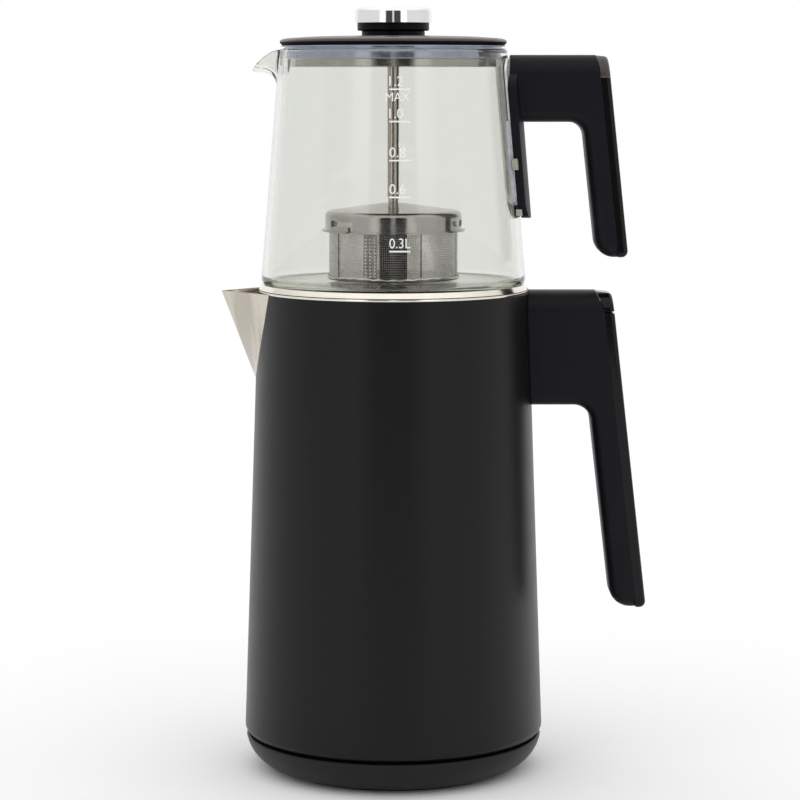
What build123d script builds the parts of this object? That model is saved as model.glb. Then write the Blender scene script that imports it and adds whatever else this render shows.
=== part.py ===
from build123d import *
import math
import os

# Automatic tea maker: an electric kettle on a round power base, with a glass teapot
# seated on the kettle's mouth.  Millimetres.  Z is up, the axis of every round piece
# is the Z axis, z = 0 is the table.  The pouring spouts point to -X and both handles
# to +X.

os.makedirs("parts", exist_ok=True)

# ---- clearances ----------------------------------------------------------------------
running_gap = 0.3        # between pieces that move past each other
fit_gap = 0.15           # between fixed pieces that are pushed together
weld_gap = 0.05          # between curved sheets that are welded or glued together
shaft_gap = 0.08         # radial play of a rod or pin in its bore
overcut = 1.0            # how far a cutter runs past the face that it opens
root_x = 40.0            # handles and cross holes start here, then are trimmed to the wall
far_x = 160.0            # well outside every handle

# ---- power base ----------------------------------------------------------------------
base_inset = 0.85        # the base is this much slimmer than the kettle's bottom edge
base_side_inset = 13.4   # the side curves in this much from its top to its foot
base_side_bow = 2.8      # and bulges this much from the straight line between them
base_wall = 2.2
base_height = 17.4       # top of the outer rim land
rim_edge = 0.8           # chamfer of the rim land
base_rim_land = 6.8      # flat land outside the recess for the kettle's underside
deck_depth = 4.0
foot_height = 1.6
foot_groove = 0.8
foot_width = 7.0
foot_inset = 3.0         # from the cover's edge
cover_inset = 14.4       # from the base's side
base_boss_inset = 12.0   # from the foot ring's inside
base_screw_count = 3
base_screw_length = 7.0
boss_radius = 3.6

# ---- cordless connector --------------------------------------------------------------
hub_radius = 17.5
hub_flange_radius = 22.0
hub_rise = 10.9          # above the deck
hub_edge = 0.8
slot_depth = 9.8
centre_bore = 3.4
inner_slot = (5.6, 8.5)
outer_slot = (11.0, 13.9)
contact_sheet = 0.6      # thickness of the sprung contact sleeves
contact_inset = 1.5      # the sleeves end below the hub's top, the rings above its slots' floor
pin_radius = 2.2
socket_ring_wall = 1.0
socket_radius = 20.0
socket_core_radius = 16.0
socket_flange = 3.9
snap_disc_radius = 9.5
snap_disc_thickness = 0.8

# ---- cord inlet at the back of the base ----------------------------------------------
cord_bore = 3.3
gland_wall = 1.2
gland_z = 7.4
gland_inset = 12.4       # it starts this far inside the base's side
gland_collar_length = 1.6
gland_proud = 3.0        # how far it stands out of the base's side
gland_collar_wall = 2.3
gland_boss_wall = 1.25   # of the boss that carries it through the curved side

# ---- kettle --------------------------------------------------------------------------
seam_gap = 0.9           # shadow line between base and kettle
kettle_height = 228.1
kettle_bottom_radius = 77.25
kettle_top_radius = 69.15
shell_wall = 0.9
shell_curl = 4.0         # rounding of the shell's bottom edge
shell_curl_deg = 72.0    # how far the curl turns under
air_gap = 2.6            # between the outer shell and the inner pot
pot_wall = 0.8
pot_corner = 6.0
cover_plate = 2.4
cover_lip = 5.0
cover_lip_wall = 1.8
cover_drop = 3.2         # the bottom cover sits this far up inside the shell
kettle_foot_width = 5.0
kettle_foot_inset = 4.6  # from the wall of the base's recess
well_wall = 2.0
heater_clearance = 11.0  # room for the connector between cover and heater plate
plate_thickness = 3.0
element_width = 7.0
element_inset = 4.0      # from the legs of the heater plate
element_height = 5.2
element_gap_deg = 30
element_corner = 2.0
terminal_inset_deg = 6
terminal_radius = 1.6
terminal_length = 4.0
leg_inset = 11.0         # from the heater plate's edge
leg_radius = 4.0
kettle_screw_count = 3
kettle_screw_length = 9.0

# ---- kettle spout and rim ------------------------------------------------------------
spout_reach = 19.45      # from the shell's top radius to the ridge at the spout's top
spout_rise = 0.7         # spout top above the shell's top edge
spout_foot_reach = 2.35  # from the shell's top radius to the ridge at its foot
spout_foot_drop = 43.4   # where the ridge leaves the shell, below the spout's top
spout_seam_inset = 6.75  # its edges meet the shell this far inside the shell's top radius
spout_wall = 0.8
spout_ridge_round = 1.6
spout_back = 19.15       # its sides run on to this far inside the shell's top radius
spout_steps = 6          # sections between its foot and its top
rim_skirt = 8.4
rim_bulge_inset = 0.2    # from the shell's top radius
rim_bulge_z = 1.8        # above the shell's top edge
rim_bulge_round = 0.35
rim_edge_width = 0.6
rim_sheet = 1.2
rim_rise = 4.4
rim_web_drop = 2.9       # underside of the rim's web, below the shell's top edge
pot_spout_overlap = 0.5  # the pot's spout window reaches this far up behind the rim's skirt

# ---- steam plate between kettle and teapot -------------------------------------------
steam_plate_inset = 0.25     # from the flat of the glass floor
steam_plate_sheet = 1.2
steam_ledge = 3.2
steam_dish_depth = 3.0
steam_dish_inset = 6.2       # from the plate's edge
steam_dish_slope = 4.0
steam_hole_radius = 3.0
steam_hole_circle = 24.0
steam_hole_count = 8

# ---- glass teapot --------------------------------------------------------------------
glass_rise = 2.6         # outer floor of the glass above the shell's top edge
glass_height = 120.5
glass_inset = 1.7        # the glass is this much slimmer than the shell's top edge
glass_top_radius = 57.8
glass_corner = 5.0
glass_wall = 2.8
# The pouring lip is lofted through half ellipses: distance outside the glass rim, half
# width, depth of the top edge and of the underside below the rim.
lip_sections = (
    (-1.8, 14.0, 0.0, 19.5),
    (3.7, 10.5, 1.2, 14.6),
    (9.2, 6.5, 3.7, 12.0),
    (14.2, 3.4, 8.9, 11.8),
)
lip_wall = 2.0
lip_overcut = 3.0

# ---- handles -------------------------------------------------------------------------
handle_cavity_half = 9.5
handle_wall = 3.0
handle_top_round = 10.4
handle_side_round = 6.0
strip_edge_round = 2.4
heel_round = 3.2
handle_front_wall = 10.0
handle_screw_radius = 1.5
handle_screw_head = (2.9, 1.6)

kettle_handle_rise = 0.9     # above the shell's top edge
kettle_handle_block = 58.2
kettle_handle_drop = 163.3   # from the top to the toe
kettle_handle_reach = 42.2   # from the shell's top radius to the back of the handle
kettle_handle_lean = 0.1159
kettle_handle_grip = 17.9
kettle_handle_strip_depth = 5.4
kettle_handle_width = (29.0, 23.5)
kettle_handle_inner_round = 9.0
kettle_handle_toe_round = 11.0
kettle_handle_crown = (2.7, 9.8)
kettle_bracket_half = 12.0
kettle_bracket_sheet = 1.0
kettle_bracket_margin = 1.5
kettle_bracket_corner = 3.0

teapot_handle_drop_from_rim = 2.7
teapot_handle_block = 33.7
teapot_handle_drop = 102.2
teapot_handle_reach = 50.5
teapot_handle_lean = 0.110
teapot_handle_grip = 16.3
teapot_handle_strip_depth = 5.2
teapot_handle_width = (28.0, 23.0)
teapot_handle_inner_round = 7.5
teapot_handle_toe_round = 10.0
teapot_handle_crown = (1.0, 6.0)
teapot_tail_thickness = 4.0
teapot_tail_drop = 82.0
teapot_tail_half = 21.0
teapot_tail_corner = 9.0
teapot_tail_overlap = 24.5   # the tail reaches this far up round the block
teapot_screw_rises = (9.0, 22.0)
teapot_cap_height = 11.2
teapot_cap_sink = 0.2
cap_edge_drop = 0.7          # the caps fall away this far towards the handle's back
adhesive_film = 0.4
adhesive_half = 16.0
handle_plate_sheet = 1.0
handle_plate_half = 20.5
handle_plate_height = 74.0
handle_plate_drop = 1.5      # below the handle's top
handle_plate_corner = 8.0
adhesive_inset = 4.0         # from the plate's ends

# ---- power switch --------------------------------------------------------------------
switch_height = 9.9
switch_gap = 1.1
switch_front_gap = 0.5
switch_half = 8.0
switch_roof = 5.0
switch_sink = 0.3            # the rocker's top lies this far below the handle's
switch_tongue = 3.0          # the tongue reaches this far in front of the pin
switch_tongue_root = 2.0
switch_pin_radius = 1.2
switch_pin_half = 12.0
switch_pin_inset = 10.9      # pin axis in front of the handle's back
switch_pin_drop = 6.8
switch_box = (14.0, 14.0, 24.0)
switch_box_corner = 1.5
switch_box_inset = 6.0       # from the handle's back strip
kettle_screw_rises = (12.0, 33.0)    # of the handle screws, above the block's underside
steam_tube_radius = 4.0
steam_tube_wall = 0.8
steam_tube_drop = 14.0
steam_tube_proud = 1.2       # past the pot's inside and the handle's front wall

# ---- lid -----------------------------------------------------------------------------
seal_flange = 1.8
seal_inset = 0.8         # from the glass rim's outside
seal_skirt = 5.0
lid_inset = 0.2
lid_height = 4.9
lid_edge_round = 3.4
lid_edge_land = 0.9
lid_edge_bow = (1.1, 2.4)    # inwards and upwards, halfway round the edge
lid_sheet = 1.6
lid_crown = 1.6              # the top rises this much from its edge to its middle
lid_crown_bow = 0.45         # and is this far down halfway out
seal_wall = 2.4
pan_depth = 10.6
pan_sheet = 0.8
collar_radius = 16.0
collar_height = 2.9
collar_edge = 0.4
bush_wall = 2.6
lid_frame_depth = 5.8    # the middle of the frame hangs this far below the lid
lid_frame_wall = 4.0     # of the frame's middle, outside the collar
lid_frame_web = 1.5
lid_screw_circle = 30.0
lid_screw_count = 3
detent_drop = 3.0        # below the lid's underside
detent_ball_radius = 1.5
detent_wire = 0.5
detent_spring_length = 5.0

# ---- infuser -------------------------------------------------------------------------
knob_base_radius = 18.2
knob_base_height = 3.9
knob_base_edge = 0.5
knob_radius = 19.6
knob_height = 7.7
knob_round = 2.4
rod_radius = 3.0
detent_travel = 47.0
dimple_radius = 1.7
dimple_depth = 1.1
rod_nut_radius = 5.0
rod_nut_height = 2.4
nut_proud = 1.3              # the rod's thread stands this far out of the nut
rod_shank_radius = 2.0       # the rod is turned down below its shoulder on the ferrule
ferrule_radius = 2.55
ferrule_top_radius = 2.9
ferrule_height = 3.6
basket_cover_sheet = 0.8
basket_cover_corner = 3.0
basket_cover_crown = 3.6
basket_cover_skirt = 8.3
basket_cover_lip = 1.7
basket_radius = 33.8
basket_sheet = 0.7
basket_floor_gap = 1.3       # basket floor above the glass floor
basket_corner = 1.0
basket_height = 32.9
basket_band_height = 4.6
basket_rim_height = 8.5
mesh_sheet = 0.5
mesh_lap = 3.0               # the mesh is welded this far up inside the rim
seam_half_angle = 12.0
seam_sheet = 0.3
lug_radius = 1.2
lug_reach = 1.0
lug_drop = 3.9               # below the basket's top edge
lug_angles = (207.0, 333.0)
twist_angle = 25.0

# ---- fasteners -----------------------------------------------------------------------
screw_radius = 1.4
screw_head_radius = 2.7
screw_head_height = 1.3
pilot_gap = 0.05

# ---- heights worked out from the sizes above -----------------------------------------
base_radius = kettle_bottom_radius - base_inset
deck_radius = base_radius - base_rim_land
cover_radius = base_radius - cover_inset
foot_outer_radius = cover_radius - foot_inset
foot_inner_radius = foot_outer_radius - foot_width
base_boss_circle = foot_inner_radius - base_boss_inset
gland_outer_y = base_radius + gland_proud
gland_inner_y = base_radius - gland_inset
gland_length = gland_outer_y - gland_inner_y
gland_collar_start = base_radius + fit_gap
rim_bulge_radius = kettle_top_radius - rim_bulge_inset
glass_bottom_radius = kettle_top_radius - glass_inset
steam_plate_radius = glass_bottom_radius - glass_corner - steam_plate_inset
steam_dish_radius = steam_plate_radius - steam_dish_inset
seal_outer_radius = glass_top_radius - seal_inset
lid_radius = glass_top_radius - lid_inset
basket_cover_radius = basket_radius + running_gap + basket_cover_sheet
deck_z = base_height - deck_depth
deck_under_z = deck_z - base_wall
cover_top_z = foot_height + base_wall
hub_top_z = deck_z + hub_rise
slot_floor_z = hub_top_z - slot_depth
kettle_z = base_height + seam_gap
kettle_top_z = kettle_z + kettle_height
cover_z = kettle_z + cover_drop
cover_plate_z = cover_z + cover_plate
socket_z = hub_top_z + running_gap
plate_z = cover_plate_z + heater_clearance
pot_z = plate_z + plate_thickness
rim_top_z = kettle_top_z + rim_rise
web_z = kettle_top_z - rim_web_drop
skirt_foot_z = kettle_top_z - rim_skirt
glass_z = kettle_top_z + glass_rise
ledge_z = glass_z - steam_plate_sheet
spout_top_z = kettle_top_z + spout_rise
glass_rim_z = glass_z + glass_height
glass_floor_z = glass_z + glass_wall
lid_z = glass_rim_z + seal_flange
lid_top_z = lid_z + lid_height
pan_z = lid_z - pan_depth
collar_top_z = lid_top_z + collar_height - fit_gap
knob_base_z = collar_top_z
knob_z = knob_base_z + knob_base_height
basket_z = glass_floor_z + basket_floor_gap
basket_top_z = basket_z + basket_height
cover_corner_x = basket_cover_radius - basket_cover_corner
cover_corner_inside = basket_cover_corner - basket_cover_sheet
cover_corner_drop = cover_corner_inside - math.sqrt(
    cover_corner_inside**2 - (basket_radius - cover_corner_x) ** 2
)
cover_shoulder_z = basket_top_z + cover_corner_drop + running_gap + basket_cover_sheet
cover_apex_z = cover_shoulder_z + basket_cover_crown
detent_z = lid_z - detent_drop
shell_lean = (kettle_bottom_radius - kettle_top_radius) / kettle_height
ridge_lean = (spout_reach - spout_foot_reach) / spout_foot_drop
spout_length = (spout_reach + spout_rise * shell_lean) / (ridge_lean + shell_lean)
spout_foot_z = spout_top_z - spout_length


# ---- shared geometry -----------------------------------------------------------------
def shell_radius(z):
    """Outside radius of the kettle's tapering shell at a height."""
    along = (z - kettle_z) / kettle_height
    return kettle_bottom_radius + along * (kettle_top_radius - kettle_bottom_radius)


def pot_radius(z):
    """Outside radius of the inner pot at a height."""
    return shell_radius(z) - shell_wall - air_gap


def glass_radius(z):
    """Outside radius of the glass wall at a height."""
    low = glass_z + glass_corner
    along = (z - low) / (glass_rim_z - low)
    return glass_bottom_radius + along * (glass_top_radius - glass_bottom_radius)


def spout_ridge_x(z):
    """Distance of the kettle spout's ridge from the axis at a height."""
    return kettle_top_radius + spout_reach - ridge_lean * (spout_top_z - z)


def spout_seam_x(z):
    """Distance of the plane where the spout's edges meet the shell from the axis."""
    along = (z - spout_foot_z) / spout_length
    top = kettle_top_radius - spout_seam_inset
    return shell_radius(spout_foot_z) + along * (top - shell_radius(spout_foot_z))


def section(*points):
    """Closed outline in the XZ plane through (radius, height) points."""
    with BuildSketch(Plane.XZ) as outline:
        with BuildLine():
            Polyline(*points, close=True)
        make_face()
    return outline.sketch


def ring(inner, outer, low, high):
    """Rectangular cross-section of a ring about the Z axis."""
    return section((inner, low), (outer, low), (outer, high), (inner, high))


def cone_solid(radius_at, low, high, extra=0.0):
    """Solid of revolution with a tapering side, grown outwards by extra."""
    with BuildPart() as body:
        revolve(
            section(
                (0, low),
                (radius_at(low) + extra, low),
                (radius_at(high) + extra, high),
                (0, high),
            ),
            axis=Axis.Z,
        )
    return body.part


def cone_sheet(radius_at, inner_offset, outer_offset, low, high):
    """Cross-section of a sheet that follows a tapering side."""
    return section(
        (radius_at(low) + inner_offset, low),
        (radius_at(low) + outer_offset, low),
        (radius_at(high) + outer_offset, high),
        (radius_at(high) + inner_offset, high),
    )


def window(half_width, low, high, corner):
    """Rounded rectangle in the YZ plane, for pieces wrapped on a round wall."""
    with BuildSketch(Plane.YZ) as outline:
        with Locations((0, (low + high) / 2)):
            RectangleRounded(2 * half_width, high - low, corner)
    return outline.sketch


def rod_x(radius, start_x, end_x, y, z):
    """Cylinder along X."""
    with BuildPart() as rod:
        with BuildSketch(Plane.YZ.offset(start_x)):
            with Locations((y, z)):
                Circle(radius)
        extrude(amount=end_x - start_x)
    return rod.part


def spout_wedge(grow, lower, higher):
    """Body of the kettle spout, grown outwards, with its ends moved down and up."""
    with BuildPart() as wedge:
        for step in range(1, spout_steps + 1):
            along = (step / spout_steps) ** 2
            z = spout_foot_z + along * spout_length
            level = z
            if step == 1:
                level -= lower
            if step == spout_steps:
                z += higher
                level = z
            seam = spout_seam_x(z)
            half = math.sqrt(shell_radius(z) ** 2 - seam**2)
            back = spout_back - kettle_top_radius
            with BuildSketch(Plane.XY.offset(level)) as outline:
                with BuildLine():
                    Polyline(
                        (-spout_ridge_x(z), 0),
                        (-seam, -half),
                        (back, -half),
                        (back, half),
                        (-seam, half),
                        close=True,
                    )
                make_face()
                if grow:
                    offset(amount=grow, kind=Kind.INTERSECTION)
                fillet(outline.vertices().sort_by(Axis.X)[0], spout_ridge_round + grow)
        loft(ruled=True)
    return wedge.part


def lip_loft(wall, raise_top, stretch):
    """Half-pipe of the glass pouring lip, thinned by wall and open upwards."""
    last = len(lip_sections) - 1
    with BuildPart() as lip:
        for index, (reach, half, top_drop, low_drop) in enumerate(lip_sections):
            shift = stretch if index == last else 0.0
            if index == 0:
                shift = -stretch
            top = glass_rim_z - top_drop + raise_top
            depth = low_drop - top_drop - wall + raise_top
            with BuildSketch(Plane.YZ.offset(-glass_top_radius - reach - shift)):
                with BuildLine():
                    EllipticalCenterArc((0, top), half - wall, depth, 180, arc_size=180)
                    Line((half - wall, top), (wall - half, top))
                make_face()
        loft()
    return lip.part


def handle_back(top, top_x, lean, z):
    """Distance of a handle's back from the axis at a height."""
    return top_x + lean * (top - z)


def handle_front_view(top, toe, widths):
    """A handle seen along X: round on top and narrowing to the toe."""
    top_half, toe_half = widths[0] / 2, widths[1] / 2
    with BuildSketch(Plane.YZ) as outline:
        with BuildLine():
            Polyline(
                (-top_half, top),
                (top_half, top),
                (toe_half, toe),
                (-toe_half, toe),
                close=True,
            )
        make_face()
        fillet(outline.vertices().group_by(Axis.Y)[-1], handle_top_round)
    return outline.sketch


def handle_side_view(top, block, drop, top_x, lean, grip, strip, crown, rounds, tail=None):
    """A handle's main moulding seen along Y, in front of its back strip."""
    toe, block_z = top - drop, top - block
    back = [handle_back(top, top_x, lean, z) for z in (top, top - crown[1], toe, block_z)]
    toe_corner = (back[2] - grip, toe)
    inner_corner = (back[3] - grip, block_z)
    points = [
        (root_x, top),
        (back[0] - strip - crown[0], top),
        (back[1] - strip, top - crown[1]),
        (back[2] - strip, toe),
        toe_corner,
        inner_corner,
    ]
    points += tail if tail else [(root_x, block_z)]
    with BuildSketch(Plane.XZ) as outline:
        with BuildLine():
            Polyline(*points, close=True)
        make_face()
        fillet(outline.vertices().sort_by_distance((*inner_corner, 0))[0], rounds[0])
        fillet(outline.vertices().sort_by_distance((*toe_corner, 0))[0], rounds[1])
    return outline.sketch


def handle_cavity(top, block, drop, top_x, lean, grip, front_x, roof):
    """Hollow of a handle's main moulding, open to the back."""
    toe, block_z = top - drop + handle_wall, top - block + handle_wall
    back = [handle_back(top, top_x, lean, z) for z in (top, toe, block_z)]
    return section(
        (front_x, top - roof),
        (back[0] + overcut, top - roof),
        (back[1] + overcut, toe),
        (back[1] - grip + handle_wall, toe),
        (back[2] - grip + handle_wall, block_z),
        (front_x, block_z),
    )


def strip_side_view(top, drop, top_x, lean, strip, high):
    """The gloss strip that closes a handle's back, seen along Y."""
    toe = top - drop
    back_high = handle_back(top, top_x, lean, high)
    back_toe = handle_back(top, top_x, lean, toe)
    with BuildSketch(Plane.XZ) as outline:
        with BuildLine():
            Polyline(
                (back_high - strip + weld_gap, high),
                (back_high, high),
                (back_toe, toe),
                (back_toe - strip + weld_gap, toe),
                close=True,
            )
        make_face()
        fillet(outline.vertices().sort_by_distance((back_toe, toe, 0))[0], heel_round)
    return outline.sketch


def screws_x(radius, head, head_x, tip_x, heights):
    """Pan-head screws along X, with their heads towards +X."""
    with BuildPart() as screws:
        for z in heights:
            add(rod_x(radius, tip_x, head_x, 0, z))
            add(rod_x(head[0], head_x, head_x + head[1], 0, z))
    return screws.part


def screws_up(circle, count, seat_z, length):
    """Screws along Z on a circle, driven upwards, with their heads below the seat."""
    with BuildPart() as screws:
        with BuildSketch(Plane.XY.offset(seat_z)):
            with PolarLocations(circle, count, start_angle=30):
                Circle(screw_radius)
        extrude(amount=length)
        with BuildSketch(Plane.XY.offset(seat_z)):
            with PolarLocations(circle, count, start_angle=30):
                Circle(screw_head_radius)
        extrude(amount=-screw_head_height)
    return screws.part


def holes_up(circle, count, radius, low, high):
    """Cylinders along Z on a circle, to be cut out or added."""
    with BuildPart() as cutters:
        with BuildSketch(Plane.XY.offset(low)):
            with PolarLocations(circle, count, start_angle=30):
                Circle(radius)
        extrude(amount=high - low)
    return cutters.part


# ---- power base ----------------------------------------------------------------------
gland_radius = cord_bore + gland_wall
cover_opening = cover_radius + fit_gap
pilot_radius = screw_radius + pilot_gap
side_foot = Vector(base_radius - base_side_inset, foot_height)
side_top = Vector(base_radius, base_height - rim_edge)
side_chord = side_top - side_foot
side_radius = (side_chord.length**2 / 4 + base_side_bow**2) / (2 * base_side_bow)
side_out = Vector(side_chord.Y, -side_chord.X).normalized()
side_centre = (side_foot + side_top) / 2 - side_out * (side_radius - base_side_bow)


def side_point(inset, z):
    """Point on the base's curved side, or this far inside it, at a height."""
    radius = side_radius - inset
    return (side_centre.X + math.sqrt(radius**2 - (z - side_centre.Y) ** 2), z)


with BuildPart() as base_shell:
    with BuildSketch(Plane.XZ):
        with BuildLine():
            ThreePointArc(
                side_point(0, foot_height),
                side_point(0, gland_z),
                side_point(0, base_height - rim_edge),
            )
            Polyline(
                side_point(0, base_height - rim_edge),
                (base_radius - rim_edge, base_height),
                (deck_radius, base_height),
                (deck_radius, deck_z),
                (hub_radius + fit_gap, deck_z),
                (hub_radius + fit_gap, deck_under_z),
                side_point(base_wall, deck_under_z),
            )
            ThreePointArc(
                side_point(base_wall, deck_under_z),
                side_point(base_wall, gland_z),
                side_point(base_wall, cover_top_z),
            )
            Polyline(
                side_point(base_wall, cover_top_z),
                (cover_opening, cover_top_z),
                (cover_opening, foot_height),
                side_point(0, foot_height),
            )
        make_face()
    revolve(axis=Axis.Z)
    with BuildSketch(Plane.XZ.offset(-deck_radius)):
        with Locations((0, gland_z)):
            Circle(gland_radius + fit_gap + gland_boss_wall)
    extrude(amount=-base_rim_land)
    add(holes_up(base_boss_circle, base_screw_count, boss_radius, cover_top_z, deck_under_z))
    add(
        holes_up(
            base_boss_circle,
            base_screw_count,
            pilot_radius,
            cover_top_z - overcut,
            cover_top_z + base_screw_length,
        ),
        mode=Mode.SUBTRACT,
    )
    with BuildSketch(Plane.XZ.offset(overcut - gland_inner_y)):
        with Locations((0, gland_z)):
            Circle(gland_radius + fit_gap)
    extrude(amount=-(gland_length + overcut), mode=Mode.SUBTRACT)

with BuildPart() as base_bottom_cover:
    revolve(ring(0, cover_radius, foot_height, cover_top_z), axis=Axis.Z)
    groove = ring(
        foot_inner_radius - fit_gap,
        foot_outer_radius + fit_gap,
        foot_height - overcut,
        foot_height + foot_groove,
    )
    revolve(groove, axis=Axis.Z, mode=Mode.SUBTRACT)
    head_pocket_z = foot_height + screw_head_height
    add(
        holes_up(base_boss_circle, base_screw_count, pilot_radius, 0, cover_top_z),
        mode=Mode.SUBTRACT,
    )
    add(
        holes_up(
            base_boss_circle,
            base_screw_count,
            screw_head_radius + fit_gap,
            0,
            head_pocket_z,
        ),
        mode=Mode.SUBTRACT,
    )

with BuildPart() as base_foot_ring:
    revolve(ring(foot_inner_radius, foot_outer_radius, 0, foot_height + foot_groove), axis=Axis.Z)

with BuildPart() as base_screws:
    add(screws_up(base_boss_circle, base_screw_count, head_pocket_z, base_screw_length))

with BuildPart() as base_connector:
    revolve(ring(0, hub_radius, deck_under_z - base_wall, hub_top_z), axis=Axis.Z)
    revolve(ring(0, hub_flange_radius, deck_under_z - base_wall, deck_under_z), axis=Axis.Z)
    chamfer(base_connector.edges().group_by(Axis.Z)[-1], hub_edge)
    for low_radius, high_radius in ((0, centre_bore), inner_slot, outer_slot):
        revolve(
            ring(low_radius, high_radius, slot_floor_z, hub_top_z + overcut),
            axis=Axis.Z,
            mode=Mode.SUBTRACT,
        )

contact_top_z = hub_top_z - contact_inset
inner_contact = inner_slot[0] + running_gap
outer_contact = outer_slot[0] + running_gap
centre_contact = pin_radius + running_gap
with BuildPart() as base_contacts:
    for radius in (centre_contact, inner_contact, outer_contact):
        revolve(ring(radius, radius + contact_sheet, slot_floor_z, contact_top_z), axis=Axis.Z)

with BuildPart() as base_cord_gland:
    with BuildSketch(Plane.XZ.offset(-gland_inner_y)):
        with Locations((0, gland_z)):
            Circle(gland_radius)
    extrude(amount=-gland_length)
    with BuildSketch(Plane.XZ.offset(-gland_collar_start)):
        with Locations((0, gland_z)):
            Circle(cord_bore + gland_collar_wall)
    extrude(amount=-gland_collar_length)
    with BuildSketch(Plane.XZ.offset(overcut - gland_inner_y)):
        with Locations((0, gland_z)):
            Circle(cord_bore)
    extrude(amount=-(gland_length + 2 * overcut), mode=Mode.SUBTRACT)

# ---- connector socket under the kettle -----------------------------------------------
socket_flange_z = socket_z + socket_flange
socket_top_z = plate_z - running_gap - snap_disc_thickness
ring_foot_z = slot_floor_z + contact_inset

with BuildPart() as socket_moulding:
    revolve(ring(0, socket_radius, socket_z, socket_flange_z), axis=Axis.Z)
    revolve(ring(0, socket_core_radius, socket_flange_z, socket_top_z), axis=Axis.Z)

with BuildPart() as socket_contacts:
    revolve(ring(0, pin_radius, ring_foot_z, socket_z), axis=Axis.Z)
    for radius in (inner_contact, outer_contact):
        start = radius + contact_sheet + running_gap
        revolve(ring(start, start + socket_ring_wall, ring_foot_z, socket_z), axis=Axis.Z)

with BuildPart() as thermostat_disc:
    revolve(
        ring(0, snap_disc_radius, socket_top_z, socket_top_z + snap_disc_thickness),
        axis=Axis.Z,
    )

# ---- kettle body ---------------------------------------------------------------------
kettle_handle_top = kettle_top_z + kettle_handle_rise
kettle_handle_x = kettle_top_radius + kettle_handle_reach
kettle_block_z = kettle_handle_top - kettle_handle_block
kettle_handle_toe = kettle_handle_top - kettle_handle_drop
kettle_screw_heights = [kettle_block_z + rise for rise in kettle_screw_rises]
steam_tube_z = kettle_handle_top - steam_tube_drop
bracket_high = steam_tube_z - steam_tube_radius - kettle_bracket_margin
bracket_low = kettle_block_z + kettle_bracket_margin
steam_hole = steam_tube_radius + fit_gap
handle_pilot = handle_screw_radius + pilot_gap
curl_z = kettle_z + shell_curl
curl_x = shell_radius(curl_z) - shell_curl

curl_inside = shell_curl - shell_wall

with BuildPart() as kettle_shell:
    with BuildSketch(Plane.XZ):
        with BuildLine():
            outer_curl = CenterArc((curl_x, curl_z), shell_curl, -shell_curl_deg, shell_curl_deg)
            inner_curl = CenterArc((curl_x, curl_z), curl_inside, -shell_curl_deg, shell_curl_deg)
            Polyline(
                outer_curl @ 1,
                (kettle_top_radius, kettle_top_z),
                (kettle_top_radius - shell_wall, kettle_top_z),
                inner_curl @ 1,
            )
            Line(outer_curl @ 0, inner_curl @ 0)
        make_face()
    revolve(axis=Axis.Z)
    add(spout_wedge(running_gap, running_gap, rim_rise), mode=Mode.SUBTRACT)
    for z in kettle_screw_heights:
        add(rod_x(handle_pilot, root_x, far_x, 0, z), mode=Mode.SUBTRACT)
    add(rod_x(steam_hole, root_x, far_x, 0, steam_tube_z), mode=Mode.SUBTRACT)

with BuildPart() as inner_pot:
    add(cone_solid(pot_radius, pot_z, web_z))
    fillet(inner_pot.edges().group_by(Axis.Z)[0], pot_corner)
    with BuildPart(mode=Mode.PRIVATE) as pot_inside:
        add(cone_solid(pot_radius, pot_z + pot_wall, web_z, -pot_wall))
        fillet(pot_inside.edges().group_by(Axis.Z)[0], pot_corner - pot_wall)
        revolve(ring(0, pot_radius(web_z) - pot_wall, web_z, web_z + overcut), axis=Axis.Z)
    add(pot_inside.part, mode=Mode.SUBTRACT)
    with BuildPart(mode=Mode.PRIVATE) as pot_window:
        add(spout_wedge(-spout_wall, -spout_wall, 0))
        split(bisect_by=Plane.XY.offset(skirt_foot_z + pot_spout_overlap), keep=Keep.BOTTOM)
    add(pot_window.part, mode=Mode.SUBTRACT)
    add(rod_x(steam_hole, root_x, far_x, 0, steam_tube_z), mode=Mode.SUBTRACT)

# The rim carries the pot in the shell's mouth and holds the teapot's seat.
glass_corner_x = glass_bottom_radius - glass_corner
glass_corner_z = glass_z + glass_corner
seat_round = glass_corner + running_gap
skirt_inner = pot_radius(skirt_foot_z) + fit_gap
skirt_outer = min(kettle_top_radius, shell_radius(skirt_foot_z)) - shell_wall - fit_gap
pocket_radius = steam_plate_radius + running_gap
lip_drop = glass_corner_z - rim_top_z
seat_high_x = glass_corner_x + math.sqrt(seat_round**2 - lip_drop**2)
seat_low_z = glass_corner_z - math.sqrt(seat_round**2 - (pocket_radius - glass_corner_x) ** 2)
seat_turn = math.degrees(math.atan2(seat_high_x - glass_corner_x, lip_drop))
seat_low_turn = math.degrees(math.asin((pocket_radius - glass_corner_x) / seat_round))
seat_mid_turn = math.radians((seat_turn + seat_low_turn) / 2)
seat_mid = (
    glass_corner_x + seat_round * math.sin(seat_mid_turn),
    glass_corner_z - seat_round * math.cos(seat_mid_turn),
)
bulge_low = (rim_bulge_radius - rim_bulge_round, kettle_top_z)
bulge_high = (rim_bulge_radius - rim_bulge_round, kettle_top_z + rim_bulge_z)
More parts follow.
